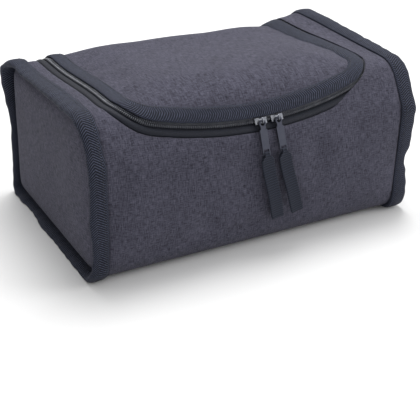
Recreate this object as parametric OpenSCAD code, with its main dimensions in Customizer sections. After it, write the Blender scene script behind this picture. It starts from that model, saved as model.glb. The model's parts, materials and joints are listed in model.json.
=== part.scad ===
// Hanging toiletry bag with a zipped U-shaped lid, bound end seams, a trolley strap on the
// back and a fold-out swivel hook under the lid.
// Frame: X along the length, -Y the front, +Z up; origin at the centre of the base's underside.

/* [Body] */
// Length between the two end seams
body_l = 280; // [240:5:320]
// Depth, front to back
body_d = 190; // [180:5:210]
// Height of the flat part of the top
body_h = 138; // [132:1:150]
// How far the bound seams stand out past each end
rim_w = 14; // [10:1:18]

/* [Cloth] */
// Thickness of the outer cloth
cloth_t = 1.2; // [0.8:0.1:1.6]
// Thickness of the foam between cloth and lining
foam_t = 3; // [2:0.5:3.5]
// Thickness of the lining
lining_t = 0.8; // [0.5:0.1:1]
// Height of the lid's crown above the flat top
crown = 6; // [0:1:8]

/* [Zip] */
// Least height of the lid opening's edge, measured over the cloth from the base
front_rise = 119; // [118.5:0.5:120]
// Distance from the end seams to the lid opening
side_gap = 11; // [9:1:14]
// Angle that the left slider is along the front arc at rest
slider_left_at = -0.3; // [-2:0.05:-0.2]
// Angle that the right slider is along the front arc at rest
slider_right_at = 2.2; // [2.2:0.1:6]

/* [Strap] */
// Width of the trolley strap
strap_w = 38; // [30:1:50]
// Height of the strap's lower edge
strap_z = 42; // [30:1:60]
// Room between the strap and the back
strap_room = 6.5; // [6:0.5:14]

/* [Hook] */
// Radius inside the hook, for the rail
hook_r = 12.5; // [10:0.5:12.5]
// Thickness of the hook plate
hook_t = 4.5; // [3.5:0.5:4.5]

/* [Hidden] */

$fn = 48;
cloth_colour = "#4b4a54";
trim_colour = "#262a33";
metal_colour = "#5a5d68";

half_l = body_l / 2;
gap = 0.1;                       // between two layers of one body
foam_d = cloth_t + gap;          // depth where the foam starts
lining_d = foam_d + foam_t + gap;
wall_t = lining_d + lining_t;

// ---- Cross-section: five round corners joined by straight runs, from the front of the base,
// up the front, over the top and down the back. Each corner is [y, z, radius, from, to].
lean = 31;                       // of the flat band that the zip lies on
band_l = 23;                     // length of that band
r_foot = 20;
r_brow = 16;
r_shoulder = 24.7;
r_back = 24;
r_heel = 10;
out_band = [-cos(lean), sin(lean)];
up_band = [sin(lean), cos(lean)];
brow_to_shoulder = (r_brow - r_shoulder) * out_band + band_l * up_band;
brow = [-body_d / 2 + r_brow, body_h - r_shoulder - brow_to_shoulder[1]];
shoulder = brow + brow_to_shoulder;
corners = [
    [-body_d / 2 + r_foot, r_foot, r_foot, 270, 180],
    [brow[0], brow[1], r_brow, 180, 180 - lean],
    [shoulder[0], shoulder[1], r_shoulder, 180 - lean, 90],
    [body_d / 2 - r_back, body_h - r_back, r_back, 90, 0],
    [body_d / 2 - r_heel, r_heel, r_heel, 0, -90]];
arc_step = 12;                   // degrees between points on a corner

function around(c, a) = [c[0] + c[2] * cos(a), c[1] + c[2] * sin(a), cos(a), sin(a)];
function arc_length(c) = c[2] * (c[3] - c[4]) * PI / 180;
function run_length(i) = let(
        p = around(corners[i], corners[i][4]),
        c = corners[(i + 1) % 5],
        q = around(c, c[3]))
    norm([q[0] - p[0], q[1] - p[1]]);
function start_of(i) = i == 0 ? 0 : start_of(i - 1) + arc_length(corners[i - 1]) + run_length(i - 1);
starts = [for (i = [0:4]) start_of(i)];
girth = start_of(5 - 1) + arc_length(corners[4]) + run_length(4);

// Point and outward normal at distance s round the cross-section.
function section(s) = s >= girth ? section(s - girth) :
    let(i = max([for (k = [0:4]) if (starts[k] <= s + 1e-9) k]),
        c = corners[i],
        along = s - starts[i])
    along <= arc_length(c) ? around(c, c[3] - along / c[2] * 180 / PI) :
    let(p = around(c, c[4]), run = along - arc_length(c))
    [p[0] + run * sin(c[4]), p[1] - run * cos(c[4]), p[2], p[3]];

// Every distance between a and b where the cross-section needs a point.
knots = [for (turn = [0, 1]) for (i = [0:4]) let(n = ceil((corners[i][3] - corners[i][4]) / arc_step))
    for (k = [0:n]) turn * girth + starts[i] + arc_length(corners[i]) * k / n];
function cuts(a, b) = [a, for (s = knots) if (s > a + 0.2 && s < b - 0.2) s, b];
function wrap(x, s, depth) = let(p = section(s)) [x, p[0] - p[2] * depth, p[1] - p[3] * depth];

// A strip of wall, straight along X, from distance a to b and from depth d0 to d1.
module wall(a, b, d0, d1, x0, x1) {
    ss = cuts(a, b);
    outer = [for (s = ss) let(p = wrap(0, s, d0)) [p[1], p[2]]];
    inner = [for (i = [len(ss) - 1:-1:0]) let(p = wrap(0, ss[i], d1)) [p[1], p[2]]];
    translate([x0, 0, 0]) rotate([90, 0, 90]) linear_extrude(x1 - x0) polygon(concat(outer, inner));
}

// The whole outline of an end, at a depth inside the outer cloth.
module outline(depth) {
    polygon([for (s = cuts(0, girth - 0.3)) let(p = wrap(0, s, depth)) [p[1], p[2]]]);
}

// A plate of that outline, from x0 to x1.
module end_plate(depth, x0, x1) {
    translate([x0, 0, 0]) rotate([90, 0, 90]) linear_extrude(x1 - x0) outline(depth);
}

// ---- Lid opening, on the flat cloth: x across, s round the cross-section.
front_r = 360;                   // of the long arc across the front
corner_r = 45;
opening_x = half_l - side_gap;
corner_x = opening_x - corner_r;
reach_r = sqrt(pow(front_r - corner_r, 2) - pow(corner_x, 2));
corner_s = front_rise + front_r - reach_r;
corner_a = atan(corner_x / reach_r);
hinge_back = 28.9;               // how far over the back shoulder the lid is sewn on
hinge_s = starts[3] + hinge_back;
front_steps = 10;
corner_steps = 8;

// Half the edge of the opening, moved inwards by off, from the front's middle to the hinge.
function half_edge(off) = concat(
    [for (k = [0:front_steps]) let(a = corner_a * k / front_steps)
        [(front_r - off) * sin(a), front_rise + front_r - (front_r - off) * cos(a)]],
    [for (k = [1:corner_steps]) let(a = corner_a + (90 - corner_a) * k / corner_steps)
        [corner_x + (corner_r - off) * sin(a), corner_s - (corner_r - off) * cos(a)]],
    [for (s = cuts(corner_s, hinge_s)) if (s > corner_s + 0.1) [opening_x - off, s]]);
function whole_edge(off) = let(h = half_edge(off), n = len(h))
    concat([for (i = [n - 1:-1:1]) [-h[i][0], h[i][1]]], h);

// A trim that follows the opening's edge: its cross-section is a list of [off, depth].
module trim(profile) {
    m = len(profile);
    edges = [for (p = profile) whole_edge(p[0])];
    n = len(edges[0]);
    points = [for (j = [0:n - 1]) for (i = [0:m - 1]) wrap(edges[i][j][0], edges[i][j][1], profile[i][1])];
    sides = [for (j = [0:n - 2]) for (i = [0:m - 1]) let(k = (i + 1) % m)
        [j * m + i, j * m + k, (j + 1) * m + k, (j + 1) * m + i]];
    first = [for (i = [m - 1:-1:0]) i];
    last = [for (i = [0:m - 1]) (n - 1) * m + i];
    polyhedron(concat(points), concat([first], sides, [last]));
}
function band(off0, off1, d0, d1) = [[off0, d0], [off1, d0], [off1, d1], [off0, d1]];

// A cloth panel on a grid of [x, s] points. A cell is left out where keep says false.
module cloth(grid, d0, d1, keep, lift0 = 0, lift1 = 0) {
    nj = len(grid);
    nk = len(grid[0]);
    points = [for (j = [0:nj - 1]) for (k = [0:nk - 1]) let(g = grid[j][k])
        each [wrap(g[0], g[1], d0 - lift0 * puff(g)), wrap(g[0], g[1], d1 - lift1 * puff(g))]];
    function at(j, k, layer) = (j * nk + k) * 2 + layer;
    function there(j, k) = j >= 0 && k >= 0 && j < nj - 1 && k < nk - 1 && keep[j][k];
    faces = [for (j = [0:nj - 2]) for (k = [0:nk - 2]) if (there(j, k)) let(
            a = [j, k], b = [j, k + 1], c = [j + 1, k + 1], d = [j + 1, k])
        each concat(
            [[for (p = [a, d, c, b]) at(p[0], p[1], 0)], [for (p = [a, b, c, d]) at(p[0], p[1], 1)]],
            there(j - 1, k) ? [] : [edge_face(a, b)],
            there(j, k + 1) ? [] : [edge_face(b, c)],
            there(j + 1, k) ? [] : [edge_face(c, d)],
            there(j, k - 1) ? [] : [edge_face(d, a)])];
    function edge_face(p, q) = [at(p[0], p[1], 0), at(q[0], q[1], 0), at(q[0], q[1], 1), at(p[0], p[1], 1)];
    polyhedron(points, faces);
}
// Distance in from the opening's edge to a point of the flat cloth.
function inset_of(g) = let(x = abs(g[0]), rise = front_rise + front_r - g[1])
    g[1] > corner_s ? opening_x - x :
    atan2(x, rise) < corner_a ? front_r - norm([x, rise]) :
    corner_r - norm([x - corner_x, corner_s - g[1]]);
// How far the lid's crown lifts a point: nothing under the bound edge, all of it in the middle.
function ease(t) = let(u = min(1, max(0, t))) u * u * (3 - 2 * u);
function puff(g) = crown * ease((inset_of(g) - foam_off) / 50) * ease((hinge_s - g[1]) / 60);
foam_off = 26;                   // where the foam and the crown begin
lid_columns = [-1, -0.92, -0.62, -0.3, 0, 0.3, 0.62, 0.92, 1];

// The lid's shape on the flat cloth, moved in from the opening's edge.
function lid_grid(off) = let(h = half_edge(off))
    [for (j = [1:len(h) - 1]) [for (c = lid_columns) [h[j][0] * c, min(h[j][1], hinge_s - 0.3)]]];
// Half the width, at distance s, of the shape that lies this far in from the opening's edge.
function width_at(s, inset) = let(
        round_r = corner_r - inset,
        rise = corner_s - s)
    s > corner_s ? opening_x - inset :
    rise < round_r * cos(corner_a) ? corner_x + sqrt(pow(round_r, 2) - pow(rise, 2)) :
    sqrt(pow(front_r - inset, 2) - pow(front_rise + front_r - s, 2));
// The same shape kept clear of the bound edge and the hinge.
function inner_grid(off) = [for (row = lid_grid(off)) let(s = row[0][1])
    if (s > front_rise + foam_off && s < hinge_s - 9)
        let(half = min(-lid_columns[1] * row[8][0], width_at(s, foam_off - 2)))
        [for (k = [1:len(lid_columns) - 2]) [half * lid_columns[k] / lid_columns[7], s]]];
module lid_layer(grid, d0, d1, lift0, lift1) {
    keep = [for (j = grid) [for (k = grid[0]) true]];
    cloth(grid, d0, d1, keep, lift0, lift1);
}

// ---- Outer cloth
panel_gap = 0.2;                 // between two panels of one body
foot_s = 16;                     // where the front and base panels meet
heel_s = girth - run_length(4) - 7;
module front_panel() {
    h = half_edge(0);
    low = cuts(foot_s, h[1][1]);
    rows = concat([for (s = low) [h[1][0], s]], [for (j = [2:front_steps + corner_steps]) h[j]]);
    grid = [for (r = rows) [[-half_l, r[1]], [-r[0], r[1]], [r[0], r[1]], [half_l, r[1]]]];
    keep = [for (j = [0:len(rows) - 2]) [true, j < len(low) - 1, true]];
    color(cloth_colour) cloth(grid, 0, cloth_t, keep);
}
module back_panel() color(cloth_colour)
    wall(hinge_s + panel_gap, heel_s - panel_gap, 0, cloth_t, -half_l, half_l);
module base_panel() color(cloth_colour)
    wall(heel_s, girth + foot_s - panel_gap, 0, cloth_t, -half_l, half_l);
module top_strip(side) color(cloth_colour)
    mirror([side < 0 ? 1 : 0, 0, 0])
        wall(corner_s + panel_gap, hinge_s, 0, cloth_t, opening_x, half_l);
module end_panel(side) color(cloth_colour)
    mirror([side < 0 ? 1 : 0, 0, 0]) end_plate(cloth_t + gap, half_l - cloth_t, half_l);

// Tape folded over the seam allowance that stands out past each end.
rim_out = 0.6;                   // how far the tape stands proud of the outer cloth
rim_in = 2.2;
module binding(side) color(trim_colour)
    mirror([side < 0 ? 1 : 0, 0, 0]) translate([half_l + gap, 0, 0])
        rotate([90, 0, 90]) linear_extrude(rim_w - gap) intersection() {
            difference() {
                outline(-rim_out);
                outline(rim_in);
            }
            translate([-body_d, 0]) square([2 * body_d, 2 * body_h]);
        }

// ---- Foam, board and lining
foam_from = 24;
foam_to = 108;
foam_colour = "#8d8f96";
module front_foam() color(foam_colour)
    wall(foam_from, foam_to, foam_d, foam_d + foam_t, -half_l + 8, half_l - 8);
module back_foam() color(foam_colour)
    wall(hinge_s + 12, starts[4] - 2, foam_d, foam_d + foam_t, -half_l + 8, half_l - 8);
module end_foam(side) color(foam_colour)
    mirror([side < 0 ? 1 : 0, 0, 0])
        end_plate(lining_d + gap, half_l - cloth_t - gap - foam_t, half_l - cloth_t - gap);
board_t = 2;
module base_board() color("#3c3d42")
    translate([-half_l + 12, -body_d / 2 + r_foot + 4, foam_d])
        cube([body_l - 24, body_d - r_foot - r_heel - 8, board_t]);
lining_x = half_l - cloth_t - 2 * gap - foam_t;
module lining() color("#6e6f78") {
    wall(hinge_s + 14, girth + foam_to, lining_d, wall_t, -lining_x, lining_x);
    for (side = [0, 1]) mirror([side, 0, 0])
        difference() {
            end_plate(wall_t - 0.2, lining_x - lining_t, lining_x);
            translate([0, -body_d, body_h - 12]) cube([body_l, 2 * body_d, 20]);
        }
}
// Tape over the raw edges of the seam that the lid turns about.
module seam_tape_inside() color(trim_colour)
    wall(hinge_s + 1, hinge_s + 11, foam_d, foam_d + 0.8, -opening_x + 6, opening_x - 6);

// ---- Main zip, as distances in from the opening's edge. It is shut at rest.
chain_off = 10;                  // middle of the chain
chain_half = 3.1;
chain_gap = 0.35;                // from the middle to each half of the chain
coil_top = -1;                   // depth of the coil's outer face: it stands proud
tape_d = cloth_t + 0.3;
tape_t = 0.6;
module zip_tape_body() color(trim_colour)
    trim(band(-6, chain_off - chain_gap, tape_d, tape_d + tape_t));
module zip_tape_lid() color(trim_colour)
    trim(band(chain_off + chain_gap, 23, tape_d, tape_d + tape_t));
module zip_coil_body() color(metal_colour)
    trim(band(chain_off - chain_half, chain_off - chain_gap, coil_top, tape_d - 0.05));
module zip_coil_lid() color(metal_colour)
    trim(band(chain_off + chain_gap, chain_off + chain_half, coil_top, tape_d - 0.05));
module zip_end_tab(side) color(trim_colour)
    mirror([side < 0 ? 1 : 0, 0, 0])
        wall(hinge_s + 1, hinge_s + 13, -1, -gap, opening_x - 17, opening_x - 1);

// ---- Lid
lid_edge = 15;                   // the lid's cloth starts here, inside its bound edge
bound_at = 13.4;                 // outer edge of the tape that binds the lid
binding_w = 10.4;
module lid_panel() color(cloth_colour)
    lid_layer(lid_grid(lid_edge), 0, cloth_t, 1, 1);
module lid_foam() color(foam_colour)
    lid_layer(inner_grid(lid_edge), foam_d, foam_d + foam_t, 0.8, 0);
module lid_lining() color("#6e6f78")
    lid_layer(inner_grid(lid_edge), lining_d, wall_t, 0, 0);
module lid_binding() color(trim_colour)
    trim([[bound_at, -0.9], [bound_at + binding_w / 2, -0.9], [bound_at + binding_w, -0.9],
        [bound_at + binding_w, -0.2], [bound_at + binding_w / 2, -0.2], [lid_edge - 0.3, -0.2],
        [lid_edge - 0.3, tape_d - 0.1], [bound_at + 0.7, tape_d - 0.1], [bound_at + 0.7, 0.5],
        [bound_at, 0.5]]);

// ---- Trolley strap across the back
strap_t = 2.4;
elastic_t = 1.6;
strap_half = 65;                 // half the length of the strap's cloth panel
back_y = body_d / 2;
module strap_panel() color(cloth_colour)
    translate([-strap_half, back_y + strap_room, strap_z]) cube([2 * strap_half, strap_t, strap_w]);
module strap_elastic(side) color("#15161a")
    mirror([side < 0 ? 1 : 0, 0, 0]) translate([0, back_y, strap_z + 1.5]) linear_extrude(strap_w - 3)
        polygon([[strap_half + 0.3, strap_room + 0.4], [strap_half + 34, strap_room - 1.5],
            [half_l - 22, 1.2], [half_l - 8.3, 0.4], [half_l - 8.3, 0.4 + elastic_t],
            [half_l - 21, 1.2 + elastic_t], [strap_half + 35, strap_room - 1.5 + elastic_t],
            [strap_half + 0.3, strap_room + 0.4 + elastic_t]]);
module strap_anchor(side) color(trim_colour)
    mirror([side < 0 ? 1 : 0, 0, 0])
        translate([half_l - 8, back_y + 0.1, strap_z - 1]) cube([8, 2.3, strap_w + 2]);

// ---- Mesh pocket under the lid
pocket_z = body_h - wall_t - 0.2;  // its upper face, just under the lid's lining
pocket_x = 92;
pocket_y = [8, 70];
tape_w = 9;
mesh_t = 1.2;
module pocket_frame() difference() {
    translate([-pocket_x, pocket_y[0], pocket_z - mesh_t])
        cube([2 * pocket_x, pocket_y[1] - pocket_y[0], mesh_t]);
    translate([-pocket_x + tape_w, pocket_y[0] + tape_w, pocket_z - mesh_t - 1])
        cube([2 * (pocket_x - tape_w), pocket_y[1] - pocket_y[0] - 2 * tape_w, mesh_t + 2]);
}
module mesh_binding() color(trim_colour) pocket_frame();
zip_y = pocket_y[0] + tape_w + 5;  // line of the pocket's zip
pocket_in = pocket_x - tape_w - 0.2;
module mesh_pocket() color("#1c1d22")
    translate([-pocket_in, zip_y + 5, pocket_z - 0.9])
        cube([2 * pocket_in, pocket_y[1] - tape_w - 0.2 - zip_y - 5, 0.7]);
module pocket_zip_tape() color(trim_colour)
    translate([-pocket_in, zip_y - 4.8, pocket_z - 0.9]) cube([2 * pocket_in, 9.6, 0.7]);
module pocket_zip_coil() color(metal_colour)
    translate([-pocket_in + 3, zip_y - 2, pocket_z - 2.6]) cube([2 * pocket_in - 6, 4, 1.6]);
pocket_slider_x = -pocket_in + 10;
pocket_pin_z = pocket_z - 5.6;
module pocket_slider() color(metal_colour)
    translate([pocket_slider_x, zip_y, pocket_z]) {
        translate([-4.5, -3.6, -4]) cube([9, 7.2, 1.1]);
        for (y = [-3.6, 2.4]) translate([-4.5, y, -4]) cube([9, 1.2, 2.7]);
        translate([0, 0, -5.6]) difference() {
            for (x = [-2.8, 1.6]) translate([x, -1.6, -1.4]) cube([1.2, 3.2, 3.2]);
            rotate([0, 90, 0]) cylinder(r = 0.65, h = 12, center = true, $fn = 24);
        }
    }
module pocket_puller() color(metal_colour)
    translate([pocket_slider_x, zip_y, pocket_pin_z]) {
        rotate([0, 90, 0]) cylinder(r = 0.6, h = 5.6, center = true, $fn = 24);
        difference() {
            translate([-1.3, -0.6, -16]) cube([2.6, 1.2, 16]);
            translate([0, 0, -13]) rotate([90, 0, 0]) cylinder(r = 0.7, h = 4, center = true, $fn = 24);
        }
    }

// ---- Hook: a webbing tab under the lid, a frame that folds about its bar, and the hook
hook_y = -60;                    // the bar that the frame folds about
hook_z = 125.5;
bar_r = 1.75;
loop_r = 2.1;                    // inside of the webbing's loop
web_t = 1.4;
web_half = 9;
rise = pocket_z - hook_z;        // from the bar up to the lid's lining
module hook_tab() color(trim_colour) translate([-web_half, hook_y, 0]) {
    difference() {
        translate([0, 0, hook_z]) rotate([0, 90, 0]) cylinder(r = loop_r + web_t, h = 2 * web_half);
        translate([-1, 0, hook_z]) rotate([0, 90, 0]) cylinder(r = loop_r, h = 2 * web_half + 2);
        translate([-1, 0, hook_z - 10]) cube([2 * web_half + 2, 10, 10 + loop_r]);
    }
    translate([0, 0, hook_z]) rotate([90, 0, 90]) linear_extrude(2 * web_half)
        polygon([[-0.5, loop_r + 0.1], [5.4, loop_r + 0.1], [9.6, rise - web_t], [30, rise - web_t],
            [30, rise], [9, rise], [4.5, loop_r + web_t - 0.2], [-0.5, loop_r + web_t - 0.2]]);
}
frame_l = 16;
stem_r = 2;
bore_r = 2.05;
module hook_frame() color("#17181c") translate([0, hook_y, hook_z]) {
    rotate([0, 90, 0]) cylinder(r = bar_r, h = 25, center = true);
    for (x = [-12.5, 9.6]) translate([x, 0, -1.75]) cube([2.9, 11, 3.5]);
    difference() {
        union() {
            translate([-12.5, 10, -1.75]) cube([25, 5, 3.5]);
            translate([0, 10, 0]) rotate([-90, 0, 0]) cylinder(r = 3.8, h = 9);
        }
        translate([0, 5, 0]) rotate([-90, 0, 0]) cylinder(r = bore_r, h = 20);
    }
}
stem_y = 21;                     // where the stem becomes the hook plate
bend_y = 34;                     // centre of the hook's bend
plate_w = 5;
bend_x = hook_r + plate_w / 2;
module hook() color("#17181c") translate([0, hook_y, hook_z]) {
    translate([0, 8.2, 0]) rotate([-90, 0, 0]) cylinder(r = stem_r, h = stem_y - 8);
    translate([0, 7.6, 0]) rotate([-90, 0, 0]) cylinder(r = 3, h = 2.2);
    translate([0, 0, -hook_t / 2]) linear_extrude(hook_t) {
        translate([-plate_w / 2, stem_y - 1]) square([plate_w, bend_y - stem_y + 1]);
        translate([bend_x, bend_y]) difference() {
            circle(r = hook_r + plate_w);
            circle(r = hook_r);
            translate([-40, -80]) square([80, 80]);
        }
        translate([bend_x + hook_r, bend_y - 6]) square([plate_w, 6]);
        translate([bend_x + bend_x, bend_y - 6]) circle(r = plate_w / 2);
    }
}

// ---- Sliders, pullers and ribbons. Each slider turns about the centre of the front arc.
zip_mid_s = front_rise + chain_off;
zip_mid = wrap(0, zip_mid_s, 0);
arc_r = front_r - chain_off;
arc_centre = zip_mid + arc_r * [0, up_band[0], up_band[1]];

// Puts its children, drawn as [along the zip, up the band, outwards], on the arc at an angle.
module on_zip(angle) {
    translate(arc_centre) multmatrix([
            [1, 0, 0, 0],
            [0, up_band[0], out_band[0], 0],
            [0, up_band[1], out_band[1], 0],
            [0, 0, 0, 1]])
        rotate([0, 0, angle]) translate([0, -arc_r, 0]) children();
}
wing_n = -coil_top + 0.35;       // the outer wing's lower face
wing_t = 1;
pin_t = -2.05;                   // the puller's bar, below the middle of the chain
pin_n = 4;
arch_r = 2.3;
wire_r = 0.5;
inner_n = -tape_d - tape_t - 0.5;
module slider(angle, nose) color(metal_colour) on_zip(angle) {
    translate([-5.5, -4.6, wing_n]) cube([11, 5.15, wing_t]);
    translate([-5.5, -4.6, -1.2]) cube([11, 1.15, wing_n + 1.2]);
    translate([-4.5, -4.6, inner_n - 1]) cube([9, 9.2, 1]);
    translate([nose * 2.5 - 1, -0.2, inner_n - 0.1]) cube([2, 0.4, wing_n - inner_n + 0.2]);
    translate([0, pin_t, pin_n]) rotate([90, 0, 90]) rotate_extrude(angle = 180)
        translate([arch_r, 0]) circle(r = wire_r, $fn = 16);
    for (side = [-1, 1]) translate([0, pin_t + side * arch_r, wing_n])
        cylinder(r = wire_r, h = pin_n - wing_n, $fn = 16);
}
// World place of the bar that a puller hangs by, with the puller drawn hanging down from it.
hang = 22;                       // how far the puller leans out over the front panel
module on_pin(angle) {
    on_zip(angle) translate([0, pin_t, pin_n]) rotate([lean - 90 - hang, 0, 0]) children();
}
tab_w = 6.8;
tab_t = 1.2;
tab_l = 28;
eye_r = 3.1;
hole_r = 1.9;
eye_z = 2.5;                     // the eye's centre, below the bar that it hangs by
slot_w = 4.9;
bar_h = 1.6;
module puller(angle) color(metal_colour) on_pin(angle) difference() {
    union() {
        translate([0, tab_t / 2, -eye_z]) rotate([90, 0, 0]) cylinder(r = eye_r, h = tab_t);
        translate([-2.4, -tab_t / 2, -9.5]) cube([4.8, tab_t, 5]);
        translate([-tab_w / 2, -tab_t / 2, -tab_l]) cube([tab_w, tab_t, tab_l - 7.5]);
    }
    translate([0, 2, -eye_z]) rotate([90, 0, 0]) cylinder(r = hole_r, h = 4);
    translate([-slot_w / 2, -2, -tab_l + bar_h]) cube([slot_w, 4, 2.8]);
}
ribbon_l = 62;
ribbon_w = 12;
ribbon_t = 2;
slant = 9;                    // of the ribbons, away from straight down
ribbon_d = tab_l - bar_h / 2;
loop_in = 1.3;
module ribbon(angle) color(trim_colour) on_pin(angle) translate([0, 0, -ribbon_d])
    rotate([hang, 0, 0]) {
    rotate([0, 90, 0]) difference() {
        cylinder(r = loop_in + 0.8, h = 4.4, center = true);
        cylinder(r = loop_in, h = 5, center = true);
    }
    translate([0, 0, -1.5]) rotate([0, -slant, 0]) translate([0, 0, -ribbon_l]) {
        translate([-ribbon_w / 2, -ribbon_t / 2, 0]) cube([ribbon_w, ribbon_t, ribbon_l - 2.2]);
        translate([-1.2, -ribbon_t / 2, ribbon_l - 3]) cube([2.4, ribbon_t, 2.9]);
    }
}

front_panel();
back_panel();
base_panel();
top_strip(-1);  // top_strip_left
top_strip(1);  // top_strip_right
end_panel(-1);  // end_panel_left
end_panel(1);  // end_panel_right
binding(-1);  // binding_left
binding(1);  // binding_right
front_foam();
back_foam();
base_board();
end_foam(-1);  // end_foam_left
end_foam(1);  // end_foam_right
lining();
seam_tape_inside();
zip_tape_body();
zip_coil_body();
zip_end_tab(-1);  // zip_end_tab_left
zip_end_tab(1);  // zip_end_tab_right
strap_anchor(-1);  // strap_anchor_left
strap_anchor(1);  // strap_anchor_right
strap_elastic(-1);  // strap_elastic_left
strap_elastic(1);  // strap_elastic_right
strap_panel();
lid_panel();
lid_foam();
lid_lining();
lid_binding();
zip_tape_lid();
zip_coil_lid();
mesh_pocket();
mesh_binding();
pocket_zip_tape();
pocket_zip_coil();
pocket_slider();
pocket_puller();
hook_tab();
hook_frame();
hook();
slider(slider_left_at, 1);  // slider_left
slider(slider_right_at, -1);  // slider_right
puller(slider_left_at);  // puller_left
puller(slider_right_at);  // puller_right
ribbon(slider_left_at);  // ribbon_left
ribbon(slider_right_at);  // ribbon_right
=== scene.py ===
# %% [markdown]
# # A hanging toiletry bag
# A soft box of heather cloth: one sheet runs round the belly, two end panels close it, and tape
# binds the seams where they meet. A zip runs in a U round a padded lid. The rigid model comes
# first, because every soft piece below is fitted to it and moves with one of its bodies.

# %% Load the rigid frame
import json
import math

import bmesh
import bpy
from mathutils import Matrix, Vector, noise
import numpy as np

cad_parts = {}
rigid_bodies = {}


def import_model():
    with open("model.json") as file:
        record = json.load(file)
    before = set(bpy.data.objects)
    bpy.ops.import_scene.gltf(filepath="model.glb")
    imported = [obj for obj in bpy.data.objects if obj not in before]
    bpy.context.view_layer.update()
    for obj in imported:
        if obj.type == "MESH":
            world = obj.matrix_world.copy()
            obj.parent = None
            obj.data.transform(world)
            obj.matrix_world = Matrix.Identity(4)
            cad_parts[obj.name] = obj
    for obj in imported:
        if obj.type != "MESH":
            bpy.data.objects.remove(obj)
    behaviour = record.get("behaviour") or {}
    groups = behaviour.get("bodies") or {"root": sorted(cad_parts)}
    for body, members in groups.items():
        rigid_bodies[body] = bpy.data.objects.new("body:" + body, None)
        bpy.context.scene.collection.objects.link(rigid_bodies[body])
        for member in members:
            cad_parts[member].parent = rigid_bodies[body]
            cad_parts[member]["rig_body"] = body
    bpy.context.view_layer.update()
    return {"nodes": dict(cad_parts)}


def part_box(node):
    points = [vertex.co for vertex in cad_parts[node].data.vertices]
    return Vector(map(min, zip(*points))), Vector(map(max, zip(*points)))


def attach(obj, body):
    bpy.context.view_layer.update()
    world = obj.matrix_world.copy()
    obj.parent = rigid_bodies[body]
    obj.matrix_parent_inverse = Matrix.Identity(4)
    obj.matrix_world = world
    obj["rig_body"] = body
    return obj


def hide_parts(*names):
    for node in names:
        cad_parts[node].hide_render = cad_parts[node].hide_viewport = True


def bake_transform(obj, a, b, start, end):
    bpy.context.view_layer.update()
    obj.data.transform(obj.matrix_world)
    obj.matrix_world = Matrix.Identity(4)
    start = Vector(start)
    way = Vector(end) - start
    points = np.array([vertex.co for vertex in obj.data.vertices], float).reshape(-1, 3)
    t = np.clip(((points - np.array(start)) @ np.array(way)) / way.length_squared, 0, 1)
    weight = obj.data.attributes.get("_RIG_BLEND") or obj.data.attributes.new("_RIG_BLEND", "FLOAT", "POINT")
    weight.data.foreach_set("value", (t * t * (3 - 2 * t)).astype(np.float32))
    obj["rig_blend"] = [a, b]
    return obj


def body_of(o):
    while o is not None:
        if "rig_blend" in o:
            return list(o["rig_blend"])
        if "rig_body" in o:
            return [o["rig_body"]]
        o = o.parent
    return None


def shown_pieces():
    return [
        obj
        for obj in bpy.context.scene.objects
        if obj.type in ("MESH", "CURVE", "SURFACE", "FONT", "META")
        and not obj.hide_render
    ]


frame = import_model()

# %% [markdown]
# ## Camera
# The camera could be placed by eye. It is worked out instead from an aim point, two angles and a
# distance, because those four numbers are easy to read and to change. A long lens keeps the box's
# edges nearly parallel, and a small roll tips the picture as if the camera were held by hand.

# %% Camera
scene = bpy.context.scene
scene.view_settings.view_transform = "Standard"
aim = Vector((0.0045, 0.0, -0.0120))
azimuth = math.radians(-29.60)
elevation = math.radians(28.40)
roll = math.radians(1.59)
distance = 0.9558

away = Vector((
    math.sin(azimuth) * math.cos(elevation),
    -math.cos(azimuth) * math.cos(elevation),
    math.sin(elevation)))
level = (-away).cross(Vector((0, 0, 1))).normalized()
upward = level.cross(-away)
right = level * math.cos(roll) + upward * math.sin(roll)
above = upward * math.cos(roll) - level * math.sin(roll)

camera_data = bpy.data.cameras.new("Camera")
camera_data.lens = 87.57
camera_data.sensor_width = 36
camera = bpy.data.objects.new("Camera", camera_data)
camera.matrix_world = Matrix.Translation(aim + away * distance) @ Matrix(
    (right, above, away)).transposed().to_4x4()
scene.collection.objects.link(camera)
scene.camera = camera
print("camera at", [round(v, 3) for v in camera.location])

# %% [markdown]
# ## The cross-section
# Every wall of the bag is bent round the same outline: five round corners joined by straight
# runs. A point of the cloth is named by where it lies across the bag, x, and by how far round the
# outline it is, s. Naming points this way lets a piece be cut flat, as a sewer would cut it, and
# then bent on to the bag. The sizes are read from the rigid parts, so the two always agree.

# %% Cross-section
half_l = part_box("front_panel")[1][0]
back_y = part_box("back_panel")[1][1]
top_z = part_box("top_strip_left")[1][2]
lean = math.radians(31)
band_l = 0.023
r_foot, r_brow, r_shoulder, r_back, r_heel = 0.020, 0.016, 0.0247, 0.024, 0.010
outward = (-math.cos(lean), math.sin(lean))
along_band = (math.sin(lean), math.cos(lean))
step_y = (r_brow - r_shoulder) * outward[0] + band_l * along_band[0]
step_z = (r_brow - r_shoulder) * outward[1] + band_l * along_band[1]
brow = (-back_y + r_brow, top_z - r_shoulder - step_z)
corners = [
    (-back_y + r_foot, r_foot, r_foot, 270, 180),
    (brow[0], brow[1], r_brow, 180, 149),
    (brow[0] + step_y, brow[1] + step_z, r_shoulder, 149, 90),
    (back_y - r_back, top_z - r_back, r_back, 90, 0),
    (back_y - r_heel, r_heel, r_heel, 0, -90),
]
print(f"section {2 * back_y * 1000:.0f} mm deep and {top_z * 1000:.0f} mm high")

# %% [markdown]
# A point of the outline is found by how far round it lies from the front of the base. The lengths
# of the corners and the straight runs are added up once, so a distance tells which of them the
# point is on. Each point has an outward direction too, and cloth is moved along it.

# %% Places round the outline


def on_corner(corner, degrees):
    """Point and outward direction on a round corner."""
    y, z, r, _, _ = corner
    c, s = math.cos(math.radians(degrees)), math.sin(math.radians(degrees))
    return y + r * c, z + r * s, c, s


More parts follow.
